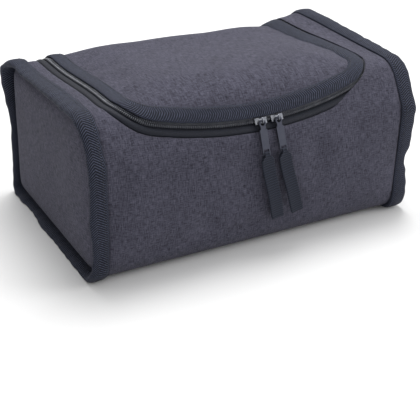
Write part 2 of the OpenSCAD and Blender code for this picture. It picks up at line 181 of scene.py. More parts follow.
arcs = [math.radians(c[3] - c[4]) * c[2] for c in corners]
runs = []
for i, corner in enumerate(corners):
    a = on_corner(corner, corner[4])
    b = on_corner(corners[(i + 1) % 5], corners[(i + 1) % 5][3])
    runs.append(math.dist(a[:2], b[:2]))
starts = [sum(arcs[:i]) + sum(runs[:i]) for i in range(5)]
girth = sum(arcs) + sum(runs)
hinge_s = starts[3] + 0.0289


def section(s):
    """Point and outward direction at distance s round the outline, from the front of the base."""
    s %= girth
    i = max(k for k in range(5) if starts[k] <= s + 1e-12)
    y, z, r, first, last = corners[i]
    past = s - starts[i]
    if past <= arcs[i]:
        return on_corner(corners[i], first - math.degrees(past / r))
    py, pz, ny, nz = on_corner(corners[i], last)
    return py + (past - arcs[i]) * nz, pz - (past - arcs[i]) * ny, ny, nz


def wrap(x, s, out=0.0):
    """The point of the cloth at x and s, moved outwards by out."""
    y, z, ny, nz = section(s)
    return Vector((x, y + ny * out, z + nz * out))


print(f"girth {girth:.3f} m, hinge at {hinge_s:.3f} m")

# %% [markdown]
# ## The lid's opening
# The opening is a U on the flat cloth: a long shallow arc across the front, a round corner at
# each end of it, and two straight sides that run back to the hinge. The zip, the tapes and the
# lid's bound edge all follow it, each set in from it by its own amount.

# %% Opening
front_rise, front_r, corner_r, chain_in = 0.119, 0.360, 0.045, 0.010
opening_x = half_l - 0.011
corner_x = opening_x - corner_r
reach = math.sqrt((front_r - corner_r) ** 2 - corner_x ** 2)
corner_s = front_rise + front_r - reach
turn = math.atan(corner_x / reach)
long_arc = (front_r - chain_in) * turn
short_arc = (corner_r - chain_in) * (math.pi / 2 - turn)
edge_half = long_arc + short_arc + hinge_s - corner_s


def edge(u, inset):
    """Flat point at distance u along the zip from its middle, set in from the opening's edge."""
    side = math.copysign(1, u)
    u = abs(u)
    if u < long_arc:
        a = u / (front_r - chain_in)
        x = (front_r - inset) * math.sin(a)
        s = front_rise + front_r - (front_r - inset) * math.cos(a)
    elif u < long_arc + short_arc:
        a = turn + (u - long_arc) / (corner_r - chain_in)
        x = corner_x + (corner_r - inset) * math.sin(a)
        s = corner_s - (corner_r - inset) * math.cos(a)
    else:
        x = opening_x - inset
        s = corner_s + u - long_arc - short_arc
    return side * x, s


print(f"zip line {2 * edge_half:.3f} m long")

# %% [markdown]
# A seam allowance keeps an even distance from the edge that it was cut to. One rule gives that
# distance for any flat point, and another moves a point on to a line at a given distance. Both
# could search along the edge, but its arcs and straights have exact answers.

# %% Distance from the opening


def inset_of(x, s):
    """How far a flat point is inside the opening's edge. It is negative outside."""
    x = abs(x)
    if s > corner_s:
        return opening_x - x
    if math.atan2(x, front_rise + front_r - s) < turn:
        return front_r - math.hypot(x, front_rise + front_r - s)
    return corner_r - math.hypot(x - corner_x, corner_s - s)


def on_inset(x, s, inset):
    """The nearest flat point that is set in by exactly this much."""
    side = math.copysign(1, x)
    x = abs(x)
    if s > corner_s:
        return side * (opening_x - inset), s
    if math.atan2(x, front_rise + front_r - s) < turn:
        cx, cs, r = 0.0, front_rise + front_r, front_r
    else:
        cx, cs, r = corner_x, corner_s, corner_r
    scale = (r - inset) / math.hypot(x - cx, s - cs)
    return side * (cx + (x - cx) * scale), cs + (s - cs) * scale


def ease(t):
    """Rises smoothly from 0 to 1."""
    t = min(1.0, max(0.0, t))
    return t * t * (3 - 2 * t)


print(f"the hinge's middle is {inset_of(0, hinge_s) * 1000:.0f} mm in from the opening's sides")

# %% [markdown]
# ## Shader groups
# Cloth, tape and metal share a few effects, so each effect is one node group with named inputs.
# A weave could be an image, but a pattern made from sines and noise stays sharp at any size. The
# groups read coordinates in metres: each cloth piece carries a UV map named cloth that holds the
# flat pattern's own sizes, so threads follow the bend of the cloth.

# %% Helpers for node groups


class Graph:
    """A node tree that is written as short calls."""

    def __init__(self, tree):
        self.tree = tree

    def node(self, kind, values=None, **settings):
        made = self.tree.nodes.new(kind)
        for key, value in settings.items():
            setattr(made, key, value)
        for socket, value in (values or {}).items():
            self.put(made.inputs[socket], value)
        return made

    def put(self, socket, value):
        if isinstance(value, bpy.types.NodeSocket):
            self.tree.links.new(value, socket)
        else:
            socket.default_value = value

    def math(self, operation, a, b=0.0, c=0.0):
        made = self.node("ShaderNodeMath", {0: a, 1: b, 2: c}, operation=operation)
        return made.outputs[0]

    def mix(self, factor, a, b):
        made = self.node("ShaderNodeMix", data_type="RGBA")
        self.put(made.inputs[0], factor)
        self.put(made.inputs[6], a)
        self.put(made.inputs[7], b)
        return made.outputs[2]

    def noise(self, vector, scale, detail=2.0, rough=0.5):
        made = self.node(
            "ShaderNodeTexNoise",
            {"Vector": vector, "Scale": scale, "Detail": detail, "Roughness": rough})
        return made.outputs[0]

    def stretch(self, vector, x, y, z=1.0):
        made = self.node("ShaderNodeMapping", {"Vector": vector, "Scale": (x, y, z)})
        return made.outputs[0]

    def ramp(self, value, low, high):
        made = self.node(
            "ShaderNodeMapRange", {"Value": value, "From Min": low, "From Max": high})
        return made.outputs[0]


print("node helper ready")

# %% [markdown]
# A group's sockets are what a material may set: colours and sizes go in under plain names, and
# colours, heights and roughness come out. The same weave can then be dark on one piece and light
# on another.

# %% Helper for shader groups


def new_group(name, inputs, outputs):
    """A shader group with these sockets, as (name, kind, value) and (name, kind)."""
    group = bpy.data.node_groups.new(name, "ShaderNodeTree")
    for label, kind, value in inputs:
        socket = group.interface.new_socket(label, in_out="INPUT", socket_type=kind)
        if value is not None:
            socket.default_value = value
    for label, kind in outputs:
        group.interface.new_socket(label, in_out="OUTPUT", socket_type=kind)
    graph = Graph(group)
    return group, graph, graph.node("NodeGroupInput").outputs, graph.node("NodeGroupOutput").inputs


VECTOR, FLOAT, COLOUR = "NodeSocketVector", "NodeSocketFloat", "NodeSocketColor"
print("group helper ready")

# %% [markdown]
# Heather cloth is woven from yarn whose fibres were dyed two or three greys before spinning, so
# light and dark flecks run along both threads. Two stretched noises, one for each thread
# direction, make the flecks, a fine crossed sine makes the plain weave, and a broad soft noise
# makes the blotches that such cloth always has.

# %% Heather group
heather, g, take, give = new_group(
    "Heather weave",
    [("Cloth", VECTOR, None), ("Dark", COLOUR, (0.04, 0.04, 0.05, 1)),
     ("Light", COLOUR, (0.1, 0.1, 0.12, 1)), ("Fleck", FLOAT, 1.0)],
    [("Colour", COLOUR), ("Height", FLOAT), ("Roughness", FLOAT)])
warp = g.noise(g.stretch(take["Cloth"], 1500, 150), 1.0, 3.0, 0.7)
weft = g.noise(g.stretch(take["Cloth"], 170, 1600), 1.0, 3.0, 0.7)
flecks = g.math("ADD", g.ramp(warp, 0.34, 0.66), g.ramp(weft, 0.34, 0.66))
blotch = g.noise(take["Cloth"], 42.0, 2.0)
tone = g.math("MULTIPLY_ADD", flecks, 0.44, g.math("MULTIPLY_ADD", blotch, 0.22, -0.08))
tone = g.math("MULTIPLY_ADD", g.math("SUBTRACT", tone, 0.49), take["Fleck"], 0.49)
g.put(give["Colour"], g.mix(tone, take["Dark"], take["Light"]))
over = g.node("ShaderNodeTexWave", {"Vector": take["Cloth"], "Scale": 420.0}, bands_direction="X")
under = g.node("ShaderNodeTexWave", {"Vector": take["Cloth"], "Scale": 420.0}, bands_direction="Y")
weave = g.math("MULTIPLY", over.outputs[1], under.outputs[1])
g.put(give["Height"], g.math("MULTIPLY_ADD", flecks, 0.5, weave))
g.put(give["Roughness"], g.math("MULTIPLY_ADD", blotch, 0.12, 0.80))
print("made the group", heather.name)

# %% [markdown]
# Binding tape is a herringbone twill: fine diagonal ribs that change direction in bands along the
# tape. The change of direction is a triangle wave across the tape, added to the distance along
# it, and a sine of the sum makes the ribs. With a wide band hardly a change of direction is left,
# so the zip's nearly plain tape uses the same group, with finer ribs.

# %% Twill group
twill, g, take, give = new_group(
    "Herringbone",
    [("Cloth", VECTOR, None), ("Dark", COLOUR, (0.01, 0.012, 0.02, 1)),
     ("Light", COLOUR, (0.03, 0.034, 0.05, 1)), ("Rib", FLOAT, 0.0011), ("Band", FLOAT, 0.0035)],
    [("Colour", COLOUR), ("Height", FLOAT)])
split = g.node("ShaderNodeSeparateXYZ", {0: take["Cloth"]})
zigzag = g.math("PINGPONG", split.outputs[1], take["Band"])
phase = g.math("DIVIDE", g.math("ADD", split.outputs[0], zigzag), take["Rib"])
rib = g.math("MULTIPLY_ADD", g.math("SINE", g.math("MULTIPLY", phase, math.tau)), 0.5, 0.5)
lint = g.noise(take["Cloth"], 900.0, 3.0)
patch = g.noise(take["Cloth"], 60.0, 2.0)
crest = g.math("POWER", rib, 1.6)
tone = g.math("MULTIPLY", crest, g.math("ADD", g.ramp(lint, 0.25, 0.8), g.math("MULTIPLY", patch, 0.4)))
g.put(give["Colour"], g.mix(tone, take["Dark"], take["Light"]))
g.put(give["Height"], g.math("MULTIPLY_ADD", lint, 0.3, rib))
print("made the group", twill.name)

# %% [markdown]
# Webbing and elastic are ribbed across their length. One group serves both: ribs across, broken
# up by a second wave along each rib. The edges and the thickness are left to the mesh.

# %% Rib group
ribbed, g, take, give = new_group(
    "Ribbed webbing",
    [("Cloth", VECTOR, None), ("Dark", COLOUR, (0.008, 0.01, 0.015, 1)),
     ("Light", COLOUR, (0.04, 0.045, 0.06, 1)), ("Rib", FLOAT, 0.0014), ("Thread", FLOAT, 0.0008)],
    [("Colour", COLOUR), ("Height", FLOAT)])
split = g.node("ShaderNodeSeparateXYZ", {0: take["Cloth"]})
across = g.math("SINE", g.math("MULTIPLY", g.math("DIVIDE", split.outputs[0], take["Rib"]), math.tau))
along = g.math("SINE", g.math("MULTIPLY", g.math("DIVIDE", split.outputs[1], take["Thread"]), math.tau))
raised = g.math("MULTIPLY_ADD", g.math("MULTIPLY", across, along), 0.25,
                g.math("MULTIPLY_ADD", across, 0.25, 0.5))
lint = g.noise(take["Cloth"], 1100.0, 3.0)
g.put(give["Colour"], g.mix(g.math("MULTIPLY", raised, g.math("ADD", lint, 0.4)),
                            take["Dark"], take["Light"]))
g.put(give["Height"], raised)
print("made the group", ribbed.name)

# %% [markdown]
# Metal, moulded plastic, thread and foam share a grain group that reads object coordinates. A fine
# noise times a broad one gives rubbed places that come in patches, as wear does, and the fine one
# also roughens the surface.

# %% Grain group

grain, g, take, give = new_group(
    "Grain",
    [("Vector", VECTOR, None), ("Base", COLOUR, (0.1, 0.1, 0.1, 1)),
     ("Worn", COLOUR, (0.3, 0.3, 0.3, 1)), ("Scale", FLOAT, 500.0), ("Wear", FLOAT, 0.3),
     ("Rough", FLOAT, 0.4)],
    [("Colour", COLOUR), ("Height", FLOAT), ("Roughness", FLOAT)])
fine = g.noise(take["Vector"], take["Scale"], 4.0, 0.65)
broad = g.noise(take["Vector"], 130.0, 2.0)
rubbed = g.math("MULTIPLY", g.ramp(g.math("MULTIPLY", fine, broad), 0.22, 0.42), take["Wear"])
g.put(give["Colour"], g.mix(rubbed, take["Base"], take["Worn"]))
g.put(give["Height"], fine)
g.put(give["Roughness"], g.math("ADD", take["Rough"], g.math("MULTIPLY", fine, 0.18)))
print("shader groups:", ", ".join(group.name for group in bpy.data.node_groups))

# %% [markdown]
# ## Materials
# Each finish is one material: a Principled shader fed by one of the groups. Fine cloth scatters
# light off its loose fibres, so the fabrics have a little sheen. Metal gets its colour and
# roughness from the grain group, and its metalness is a plain value.

# %% Material makers


def new_material(name, sheen=0.0, metallic=0.0, coat=0.0, specular=0.5):
    """An empty material with a Principled shader."""
    material = bpy.data.materials.new(name)
    material.use_nodes = True
    shader = material.node_tree.nodes["Principled BSDF"]
    shader.inputs["Sheen Weight"].default_value = sheen
    shader.inputs["Sheen Roughness"].default_value = 0.45
    shader.inputs["Metallic"].default_value = metallic
    shader.inputs["Coat Weight"].default_value = coat
    shader.inputs["Specular IOR Level"].default_value = specular
    return material, Graph(material.node_tree), shader


def bump(graph, shader, height, depth, strength=0.6):
    """Lets a height map catch the light, as if it were this deep."""
    made = graph.node("ShaderNodeBump", {"Strength": strength, "Distance": depth, "Height": height})
    graph.put(shader.inputs["Normal"], made.outputs[0])


def place(graph, group, values):
    """Puts a shader group in a material, with its own values."""
    made = graph.node("ShaderNodeGroup", node_tree=group)
    for label, value in values.items():
        graph.put(made.inputs[label], value)
    return made.outputs


def cloth_uv(graph):
    """The flat cloth's own sizes, in metres."""
    return graph.node("ShaderNodeUVMap", uv_map="cloth").outputs[0]


print("material helpers ready")

# %% [markdown]
# Three makers cover nearly every finish. Heather cloth takes its roughness from its group as well
# as its colour. Tapes and webbing use the twill or the rib group with a plain roughness. Hard
# parts, thread and foam use the grain group, which stays put on a part as the part moves.

# %% Makers of finishes


def heather_cloth(name, dark, light, fleck=1.0):
    material, graph, shader = new_material(name, sheen=0.04, specular=0.15)
    out = place(graph, heather, {
        "Cloth": cloth_uv(graph), "Dark": (*dark, 1), "Light": (*light, 1), "Fleck": fleck})
    graph.put(shader.inputs["Base Color"], out["Colour"])
    graph.put(shader.inputs["Roughness"], out["Roughness"])
    bump(graph, shader, out["Height"], 0.00025)
    return material


def woven(name, group, dark, light, values, depth=0.0003, rough=0.75):
    material, graph, shader = new_material(name, sheen=0.03, specular=0.2)
    out = place(graph, group, {
        "Cloth": cloth_uv(graph), "Dark": (*dark, 1), "Light": (*light, 1), **values})
    graph.put(shader.inputs["Base Color"], out["Colour"])
    shader.inputs["Roughness"].default_value = rough
    bump(graph, shader, out["Height"], depth)
    return material


def hard(name, base, worn, metallic, rough, wear=0.3, scale=500.0, coat=0.0, depth=0.00004):
    material, graph, shader = new_material(name, metallic=metallic, coat=coat)
    where = graph.node("ShaderNodeTexCoord").outputs["Object"]
    out = place(graph, grain, {
        "Vector": where, "Base": (*base, 1), "Worn": (*worn, 1), "Scale": scale,
        "Wear": wear, "Rough": rough})
    graph.put(shader.inputs["Base Color"], out["Colour"])
    graph.put(shader.inputs["Roughness"], out["Roughness"])
    bump(graph, shader, out["Height"], depth, 0.3)
    return material


print("makers of finishes ready")

# %% [markdown]
# The cloth is a blue charcoal, and the tapes, the webbing and the zip are nearly black. Each
# finish names a dark and a light colour that its group mixes, because one flat colour would look
# like paint. Sizes of ribs and threads are in metres.

# %% Finishes
outer_cloth = heather_cloth("Heather cloth", (0.012, 0.0120, 0.020), (0.104, 0.102, 0.140), 1.35)
lining_cloth = heather_cloth("Lining", (0.10, 0.10, 0.12), (0.17, 0.17, 0.20), 0.4)
tape = woven("Herringbone tape", twill, (0.002, 0.0025, 0.006), (0.066, 0.076, 0.122),
             {"Rib": 0.0021, "Band": 0.0050}, 0.0006)
zip_cloth = woven("Zip tape", twill, (0.004, 0.005, 0.009), (0.020, 0.023, 0.038),
                  {"Rib": 0.0006, "Band": 0.0100}, 0.0001, rough=0.55)
webbing = woven("Ladder webbing", ribbed, (0.003, 0.0035, 0.006), (0.030, 0.036, 0.058),
                {"Rib": 0.0022, "Thread": 0.0016}, 0.0005)
elastic = woven("Elastic", ribbed, (0.003, 0.003, 0.005), (0.052, 0.053, 0.066),
                {"Rib": 0.0017, "Thread": 0.0031}, 0.0005, rough=0.6)
thread = hard("Thread", (0.012, 0.013, 0.020), (0.05, 0.05, 0.07), 0.0, 0.55, 0.6, 2500.0)
coil_nylon = hard("Coil nylon", (0.050, 0.054, 0.070), (0.30, 0.31, 0.35), 0.0, 0.22, 0.35, 900.0, 0.6)
bright_metal = hard("Plated metal", (0.20, 0.21, 0.24), (0.62, 0.63, 0.66), 1.0, 0.20, 0.4, 900.0)
gun_metal = hard("Gunmetal", (0.062, 0.066, 0.088), (0.11, 0.115, 0.14), 0.85, 0.36, 0.25, 1600.0)
hook_plastic = hard("Moulded plastic", (0.012, 0.012, 0.015), (0.05, 0.05, 0.055), 0.0, 0.32, 0.4,
                    900.0, 0.2)
foam = hard("Foam", (0.30, 0.31, 0.33), (0.42, 0.43, 0.45), 0.0, 0.85, 0.8, 1500.0, 0.0, 0.0003)
board = hard("Plastic board", (0.05, 0.05, 0.055), (0.12, 0.12, 0.13), 0.0, 0.55, 0.5, 400.0)
print("outer cloth is", outer_cloth.name)

# %% [markdown]
# Mesh is mostly holes. Its threads could be modelled, but thousands of them would add nothing, so
# one sheet carries a lattice in its alpha: a hole wherever two crossed waves are both high or
# both low.

# %% Mesh cloth
net, graph, shader = new_material("Mesh", sheen=0.1)
split = graph.node("ShaderNodeSeparateXYZ", {0: cloth_uv(graph)})
wave_x = graph.math("SINE", graph.math("MULTIPLY", split.outputs[0], math.tau / 0.0026))
wave_y = graph.math("SINE", graph.math("MULTIPLY", split.outputs[1], math.tau / 0.0026))
holes = graph.ramp(graph.math("MULTIPLY", wave_x, wave_y), 0.12, 0.20)
graph.put(shader.inputs["Alpha"], graph.math("SUBTRACT", 1.0, holes))
graph.put(shader.inputs["Base Color"], graph.mix(holes, (0.03, 0.03, 0.035, 1), (0.01, 0.01, 0.012, 1)))
shader.inputs["Roughness"].default_value = 0.6
print(len(bpy.data.materials), "materials")

# %% [markdown]
# ## Making cloth
# Each soft piece starts as a flat grid, because a grid's even squares bend and settle well. The
# flat sizes are kept in the UV map before anything bends, so that the weave is never stretched.

# %% Finished mesh and flat sizes


def finish_mesh(name, bm, material, body):
    """Turns a bmesh into a smooth piece, which rides on a body if one is named."""
    mesh = bpy.data.meshes.new(name)
    bm.to_mesh(mesh)
    bm.free()
    for polygon in mesh.polygons:
        polygon.use_smooth = True
    piece = bpy.data.objects.new(name, mesh)
    scene.collection.objects.link(piece)
    mesh.materials.append(material)
    if body:
        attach(piece, body)
    return piece


def keep_uv(bm, flat):
    """Writes each vertex's flat place to the cloth UV map."""
    layer = bm.loops.layers.uv.new("cloth")
    for face in bm.faces:
        for loop in face.loops:
            loop[layer].uv = flat[loop.vert.index]


print("mesh helpers ready")

# %% [markdown]
# A tape, a ribbon or a lining is a strip of even width, so its grid is placed point by point by a
# rule. The rule gets how far across and along the strip a point is, and says where it goes and
# what its flat place is. A strip that meets itself is closed by merging its doubled points.

# %% Strips


def strip(name, columns, rows, rule, material, body, closed=False, flip=False):
    """A grid placed by rule(u, v), with u and v from 0 to 1. The rule gives a point and its UV."""
    bm = bmesh.new()
    bmesh.ops.create_grid(bm, x_segments=columns, y_segments=rows, size=1)
    bm.verts.index_update()
    flat = {}
    for vert in bm.verts:
        point, uv = rule((vert.co.x + 1) / 2, (vert.co.y + 1) / 2)
        flat[vert.index] = uv
        vert.co = point
    keep_uv(bm, flat)
    if closed:
        bmesh.ops.remove_doubles(bm, verts=bm.verts, dist=0.00002)
    if flip:
        bmesh.ops.reverse_faces(bm, faces=bm.faces)
    return finish_mesh(name, bm, material, body)


print("strip helper ready")

# %% [markdown]
# A panel is cut out of a grid along a curve, as with scissors: the squares outside the curve are
# dropped, and the new edge is pulled on to it. The points just inside are smoothed, because the
# pull crowds them. A boolean cut would leave long thin faces, which settle badly.

# %% Cut panels


def cut_cloth(low, high, step, inside, snap):
    """A flat bmesh grid from low to high, cut where inside(a, b) is negative."""
    columns = round((high[0] - low[0]) / step)
    rows = round((high[1] - low[1]) / step)
    bm = bmesh.new()
    bmesh.ops.create_grid(bm, x_segments=columns, y_segments=rows, size=1)
    for vert in bm.verts:
        vert.co.x = low[0] + (vert.co.x + 1) / 2 * (high[0] - low[0])
        vert.co.y = low[1] + (vert.co.y + 1) / 2 * (high[1] - low[1])
    gone = [f for f in bm.faces if inside(*f.calc_center_median()[:2]) < 0]
    bmesh.ops.delete(bm, geom=gone, context="FACES")
    near = []
    for vert in bm.verts:
        depth = abs(inside(vert.co.x, vert.co.y))
        if vert.is_boundary and depth < 0.8 * step:
            vert.co.x, vert.co.y = snap(vert.co.x, vert.co.y)
        elif depth < 3 * step and not vert.is_boundary:
            near.append(vert)
    for _ in range(3):
        bmesh.ops.smooth_vert(bm, verts=near, factor=0.5, use_axis_x=True, use_axis_y=True)
    bm.verts.index_update()
    return bm


def bend(bm, rule, flip=False):
    """Keeps a flat bmesh's places as UVs, then moves each point to rule(a, b)."""
    bm.normal_update()
    keep_uv(bm, {v.index: (v.co.x, v.co.y) for v in bm.verts})
    flat = [(v.co.x, v.co.y) for v in bm.verts]
    for vert, (a, b) in zip(bm.verts, flat):
        vert.co = rule(a, b)
    if flip:
        bmesh.ops.reverse_faces(bm, faces=bm.faces)
    return flat


print("panel helpers ready")

# %% [markdown]
# Cloth has a thickness, and its cut edges look round. Two modifiers do that on any sheet, and
# they leave the grid below them simple.

# %% Thickness and smoothing


def thicken(piece, depth, offset=-1.0):
    """Gives a sheet its thickness, inwards from its face unless offset says otherwise."""
    made = piece.modifiers.new("Thickness", "SOLIDIFY")
    made.thickness = depth
    made.offset = offset


def round_off(piece):
    """One level of subdivision."""
    made = piece.modifiers.new("Smooth", "SUBSURF")
    made.levels = 1
    made.render_levels = 1


cloth_thick, lining_thick = 0.0012, 0.0005
print(f"outer cloth {cloth_thick * 1000:.1f} mm thick, lining {lining_thick * 1000:.1f} mm")

# %% [markdown]
# ## Letting cloth settle
# A sewn panel is a little larger than the frame it is sewn to, and what it holds presses it
# outwards, so it takes a shape that no formula quite gives. The cloth solver finds that shape: the
# seams are pinned, the sheet may grow by a percent or two, and a light pressure fills it. No point
# may move further than a cap, or inwards, where foam backs the cloth. The result is written into
# the mesh, so that the solver is gone before the piece is used.

# %% Cloth solver
settle_frames = 20


def settle(piece, pinned, pressure, growth, cap):
    """Runs the cloth solver on a sheet and keeps where it ends."""
    group = piece.vertex_groups.new(name="seams")
    group.add(pinned, 1.0, "REPLACE")
    solver = piece.modifiers.new("Cloth", "CLOTH")
    settings = solver.settings
    settings.vertex_group_mass = "seams"
    settings.quality = 6
    settings.mass = 0.25
    settings.tension_stiffness = 25
    settings.compression_stiffness = 20
    settings.shear_stiffness = 8
    settings.bending_stiffness = 12
    settings.air_damping = 3
    settings.use_pressure = True
    settings.uniform_pressure_force = pressure
    settings.shrink_min = -growth
    settings.effector_weights.gravity = 0
    solver.collision_settings.use_collision = False
    solver.point_cache.frame_start = 1
    solver.point_cache.frame_end = settle_frames
    for number in range(1, settle_frames + 1):
        scene.frame_set(number)
    shape = piece.evaluated_get(bpy.context.evaluated_depsgraph_get()).to_mesh()
    ends = [v.co.copy() for v in shape.vertices]
    piece.modifiers.remove(solver)
    furthest = 0.0
    normals = [v.normal.copy() for v in piece.data.vertices]
    for vert, end, normal in zip(piece.data.vertices, ends, normals):
        move = end - vert.co
        move -= normal * min(0.0, move.dot(normal))
        if move.length > cap:
            move = move * (cap / move.length)
        furthest = max(furthest, move.length)
        vert.co += move
        vert.co.z = max(vert.co.z, 0.0)
    scene.frame_set(1)
    print(f"{piece.name} moved {furthest * 1000:.1f} mm at most")


# %% [markdown]
# ## The belly of the bag
# The front, the two strips beside the lid and the base are one length of cloth that is cut round
# the opening, so one mesh stands for all four rigid panels. It is held along its two ends, the
# opening and the hinge, and it bulges a little everywhere else. Cloth bent over a seam always
# puckers, and a sheet that may grow by a percent gives those small waves. On the right the cloth
# is pulled a little way over the zip, as happens when the lid of a soft bag is shut askew.

# %% Belly
base_from = starts[4] + arcs[4]
belly_to = hinge_s - 0.0004
flap_w = 0.0095
flap_rise = 0.0026
belly_step = 0.005


def flap(x):
    """How far the cloth reaches over the zip. It does so at the right-hand side only."""
    return flap_w * ease((x - 0.066) / 0.036)


def belly_place(x, s):
    """The bent cloth, which stands up a little where it lies over the zip."""
    beyond = flap(x) - inset_of(x, s)
    rise = flap_rise * flap(x) / flap_w * (1 - ease(beyond / 0.012))
    return wrap(x, s, rise)


belly = cut_cloth(
    (-half_l, base_from - girth), (half_l, belly_to), belly_step,
    lambda x, s: flap(x) - inset_of(x, s), lambda x, s: on_inset(x, s, flap(x)))
flat = bend(belly, belly_place)
shell = finish_mesh("outer_belly", belly, outer_cloth, "bag")
pinned = [
    i for i, (x, s) in enumerate(flat)
    if abs(x) > half_l - 0.001 or s < 0.018 or s > belly_to - 0.001 or inset_of(x, s) > -0.006]
for vert, (x, s) in zip(shell.data.vertices, flat):
    if 0.020 < s < 0.109:
        lift = math.sin(math.pi * (s - 0.020) / 0.089) * math.cos(math.pi * x / (2 * half_l)) ** 0.5
        vert.co.y -= 0.0016 * lift
settle(shell, pinned, 5.0, 0.007, 0.0032)
thicken(shell, cloth_thick)
round_off(shell)
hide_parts("front_panel", "top_strip_left", "top_strip_right", "base_panel")
print("the belly has", len(shell.data.vertices), "points")

# %% [markdown]
# The back is a plain panel from the hinge down to the base. It is flatter than the front, since a
# trolley strap holds it, so it settles under less pressure.

# %% Back
back_to = base_from + 0.0005
back = cut_cloth(
    (-half_l, hinge_s + 0.0004), (half_l, back_to), 0.006,
    lambda x, s: 1.0, lambda x, s: (x, s))
flat = bend(back, wrap)
back_cloth = finish_mesh("outer_back", back, outer_cloth, "bag")
pinned = [i for i, (x, s) in enumerate(flat)
          if abs(x) > half_l - 0.001 or s < hinge_s + 0.002 or s > back_to - 0.006]
settle(back_cloth, pinned, 2.5, 0.003, 0.0010)
thicken(back_cloth, cloth_thick)
round_off(back_cloth)
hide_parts("back_panel")
print("the back has", len(back_cloth.data.vertices), "points")

# %% [markdown]
# ## End panels
# Each end is a flat shape with the outline of the cross-section. The outline is convex, so the
# distance of a point from it is the least distance to any of its tangents. That one rule cuts the
# panel, snaps its edge and tells how far in a point is. The panel is backed with foam, and it
# bulges out between the rims.

# %% End panels
tangents = [section(girth * k / 720) for k in range(720)]
end_in = 0.0014


def nearest_tangent(y, z):
    """Distance in from the nearest tangent, and which tangent it is."""
    return min(((q[0] - y) * q[2] + (q[1] - z) * q[3] - end_in, k) for k, q in enumerate(tangents))


def end_depth(y, z):
    """How far in from the seam a point of the end panel is."""
    return nearest_tangent(y, z)[0]


def end_snap(y, z):
    """Moves a point of the end panel on to its seam."""
    depth, k = nearest_tangent(y, z)
    return y + tangents[k][2] * depth, z + tangents[k][3] * depth


for side, name in ((-1, "left"), (1, "right")):
    panel = cut_cloth((-back_y - 0.001, -0.001), (back_y + 0.001, top_z + 0.001), 0.005,
                      end_depth, end_snap)

    def rule(y, z, side=side):
        d = end_depth(y, z)
        round_in = min(1.0, max(0.0, d) / 0.022)
        puff = 0.0110 * math.sqrt(1 - (1 - round_in) ** 2) + 0.0012 * ease(d / 0.05)
        ripple = 0.0009 * noise.noise(Vector((y, z, side * 0.3)) * 42.0) * min(1.0, d / 0.02)
        return Vector((side * (half_l - 0.0004 + puff + ripple), y, z))

    flat = bend(panel, rule, flip=side < 0)
    end_cloth = finish_mesh(f"outer_end_{name}", panel, outer_cloth, "bag")
    pinned = [i for i, (y, z) in enumerate(flat) if end_depth(y, z) < 0.0012]
    settle(end_cloth, pinned, 3.0, 0.006, 0.002)
    thicken(end_cloth, cloth_thick)
    round_off(end_cloth)
    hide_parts(f"end_panel_{name}")
print("end panels made")

# %% [markdown]
# ## Bound rims
# The seam allowances of the belly and the end are trapped in a tape that is folded over them. The
# fold stands out past the end as a soft ridge. Real binding is never even: it waves where it is
# stitched round a corner and crowds into a lump where its two ends overlap. So the ridge's cross-
# section, a flat rounded loop, is swept round the outline with its width and height varied.

# %% Rims
profile = [
    (-0.0006, 0.0000), (-0.0008, 0.0011), (0.0012, 0.0018), (0.0045, 0.0022), (0.0085, 0.0023),
    (0.0118, 0.0020), (0.0138, 0.0010), (0.0143, -0.0005), (0.0136, -0.0020), (0.0115, -0.0030),
    (0.0080, -0.0034), (0.0040, -0.0030), (0.0010, -0.0026), (-0.0004, -0.0018)]


def round_loop(loop, t):
    """A point on a closed loop of points, t from 0 to 1 round it."""
    t = (t % 1.0) * len(loop)
    i = int(t)
    a, b = loop[i % len(loop)], loop[(i + 1) % len(loop)]
    f = t - i
    return a[0] + (b[0] - a[0]) * f, a[1] + (b[1] - a[1]) * f


print(f"rim {(max(p[0] for p in profile)) * 1000:.1f} mm wide before it waves")

# %% [markdown]
# A slow noise makes the rim thicker and thinner, a fine one roughens it, and another slow one
# leans it. A few soft bumps stand for what happened to it: on the left the lump where the tape's
# ends overlap and a low stretch behind it, and on the right a pinch and a thick place at the
# front's foot. Each bump is a bell curve in the distance round the outline, so it fades out.

# %% Uneven binding


def bell(s, middle, spread):
    """A soft bump, which is 1 at its middle."""
    away_from = (s - middle + girth / 2) % girth - girth / 2
    return math.exp(-(away_from / spread) ** 2)


def rim_shape(side, s):
    """Width and depth of the rim's loop at s, and how far it leans outwards."""
    phase = 3.1 if side > 0 else 0.4
    wave = noise.noise(Vector((s * 32.0, phase, 0.0)))
    fine = noise.noise(Vector((s * 140.0, phase, 4.0)))
    width = 1.0 + 0.15 * wave + 0.06 * fine
    depth = 1.0 + 0.25 * wave + 0.15 * fine
    lift = 0.0012 * noise.noise(Vector((s * 24.0, phase, 9.0)))
    if side < 0:
        lump = bell(s, starts[3] + 0.030, 0.024)
        low_back = bell(s, starts[3] + 0.105, 0.050)
        width = width + 0.24 * lump - 0.24 * low_back
        depth, lift = depth + 0.8 * lump, lift + 0.0012 * lump
    else:
        pinch = bell(s, 0.063, 0.010)
        width, depth = width - 0.34 * pinch, depth - 0.15 * pinch
        tail = bell(s, 0.016, 0.012)
        width, depth = width + 0.06 * tail, depth + 0.35 * tail
    return width, depth, lift


print(f"lump {rim_shape(-1, starts[3] + 0.030)[1]:.2f} times as deep as the plain rim")

# %% [markdown]
# Each rim is one closed strip: its long way runs round the bag, and its short way runs round the
# loop of the tape. It is kept off the floor where the tape passes under the base.

# %% Sweep the rims
for side, name in ((-1, "left"), (1, "right")):
    def rule(u, v, side=side):
        s = u * girth
        width, depth, lift = rim_shape(side, s)
        out, n = round_loop(profile, v)
        point = wrap(side * (half_l + out * width), s, n * depth + lift)
        point.z = max(point.z, 0.0003)
        return point, (s, v * 0.034)

    rim = strip(f"rim_{name}", 400, 28, rule, tape, "bag", closed=True, flip=side < 0)
    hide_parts(f"binding_{name}")
    round_off(rim)
print("rims made")

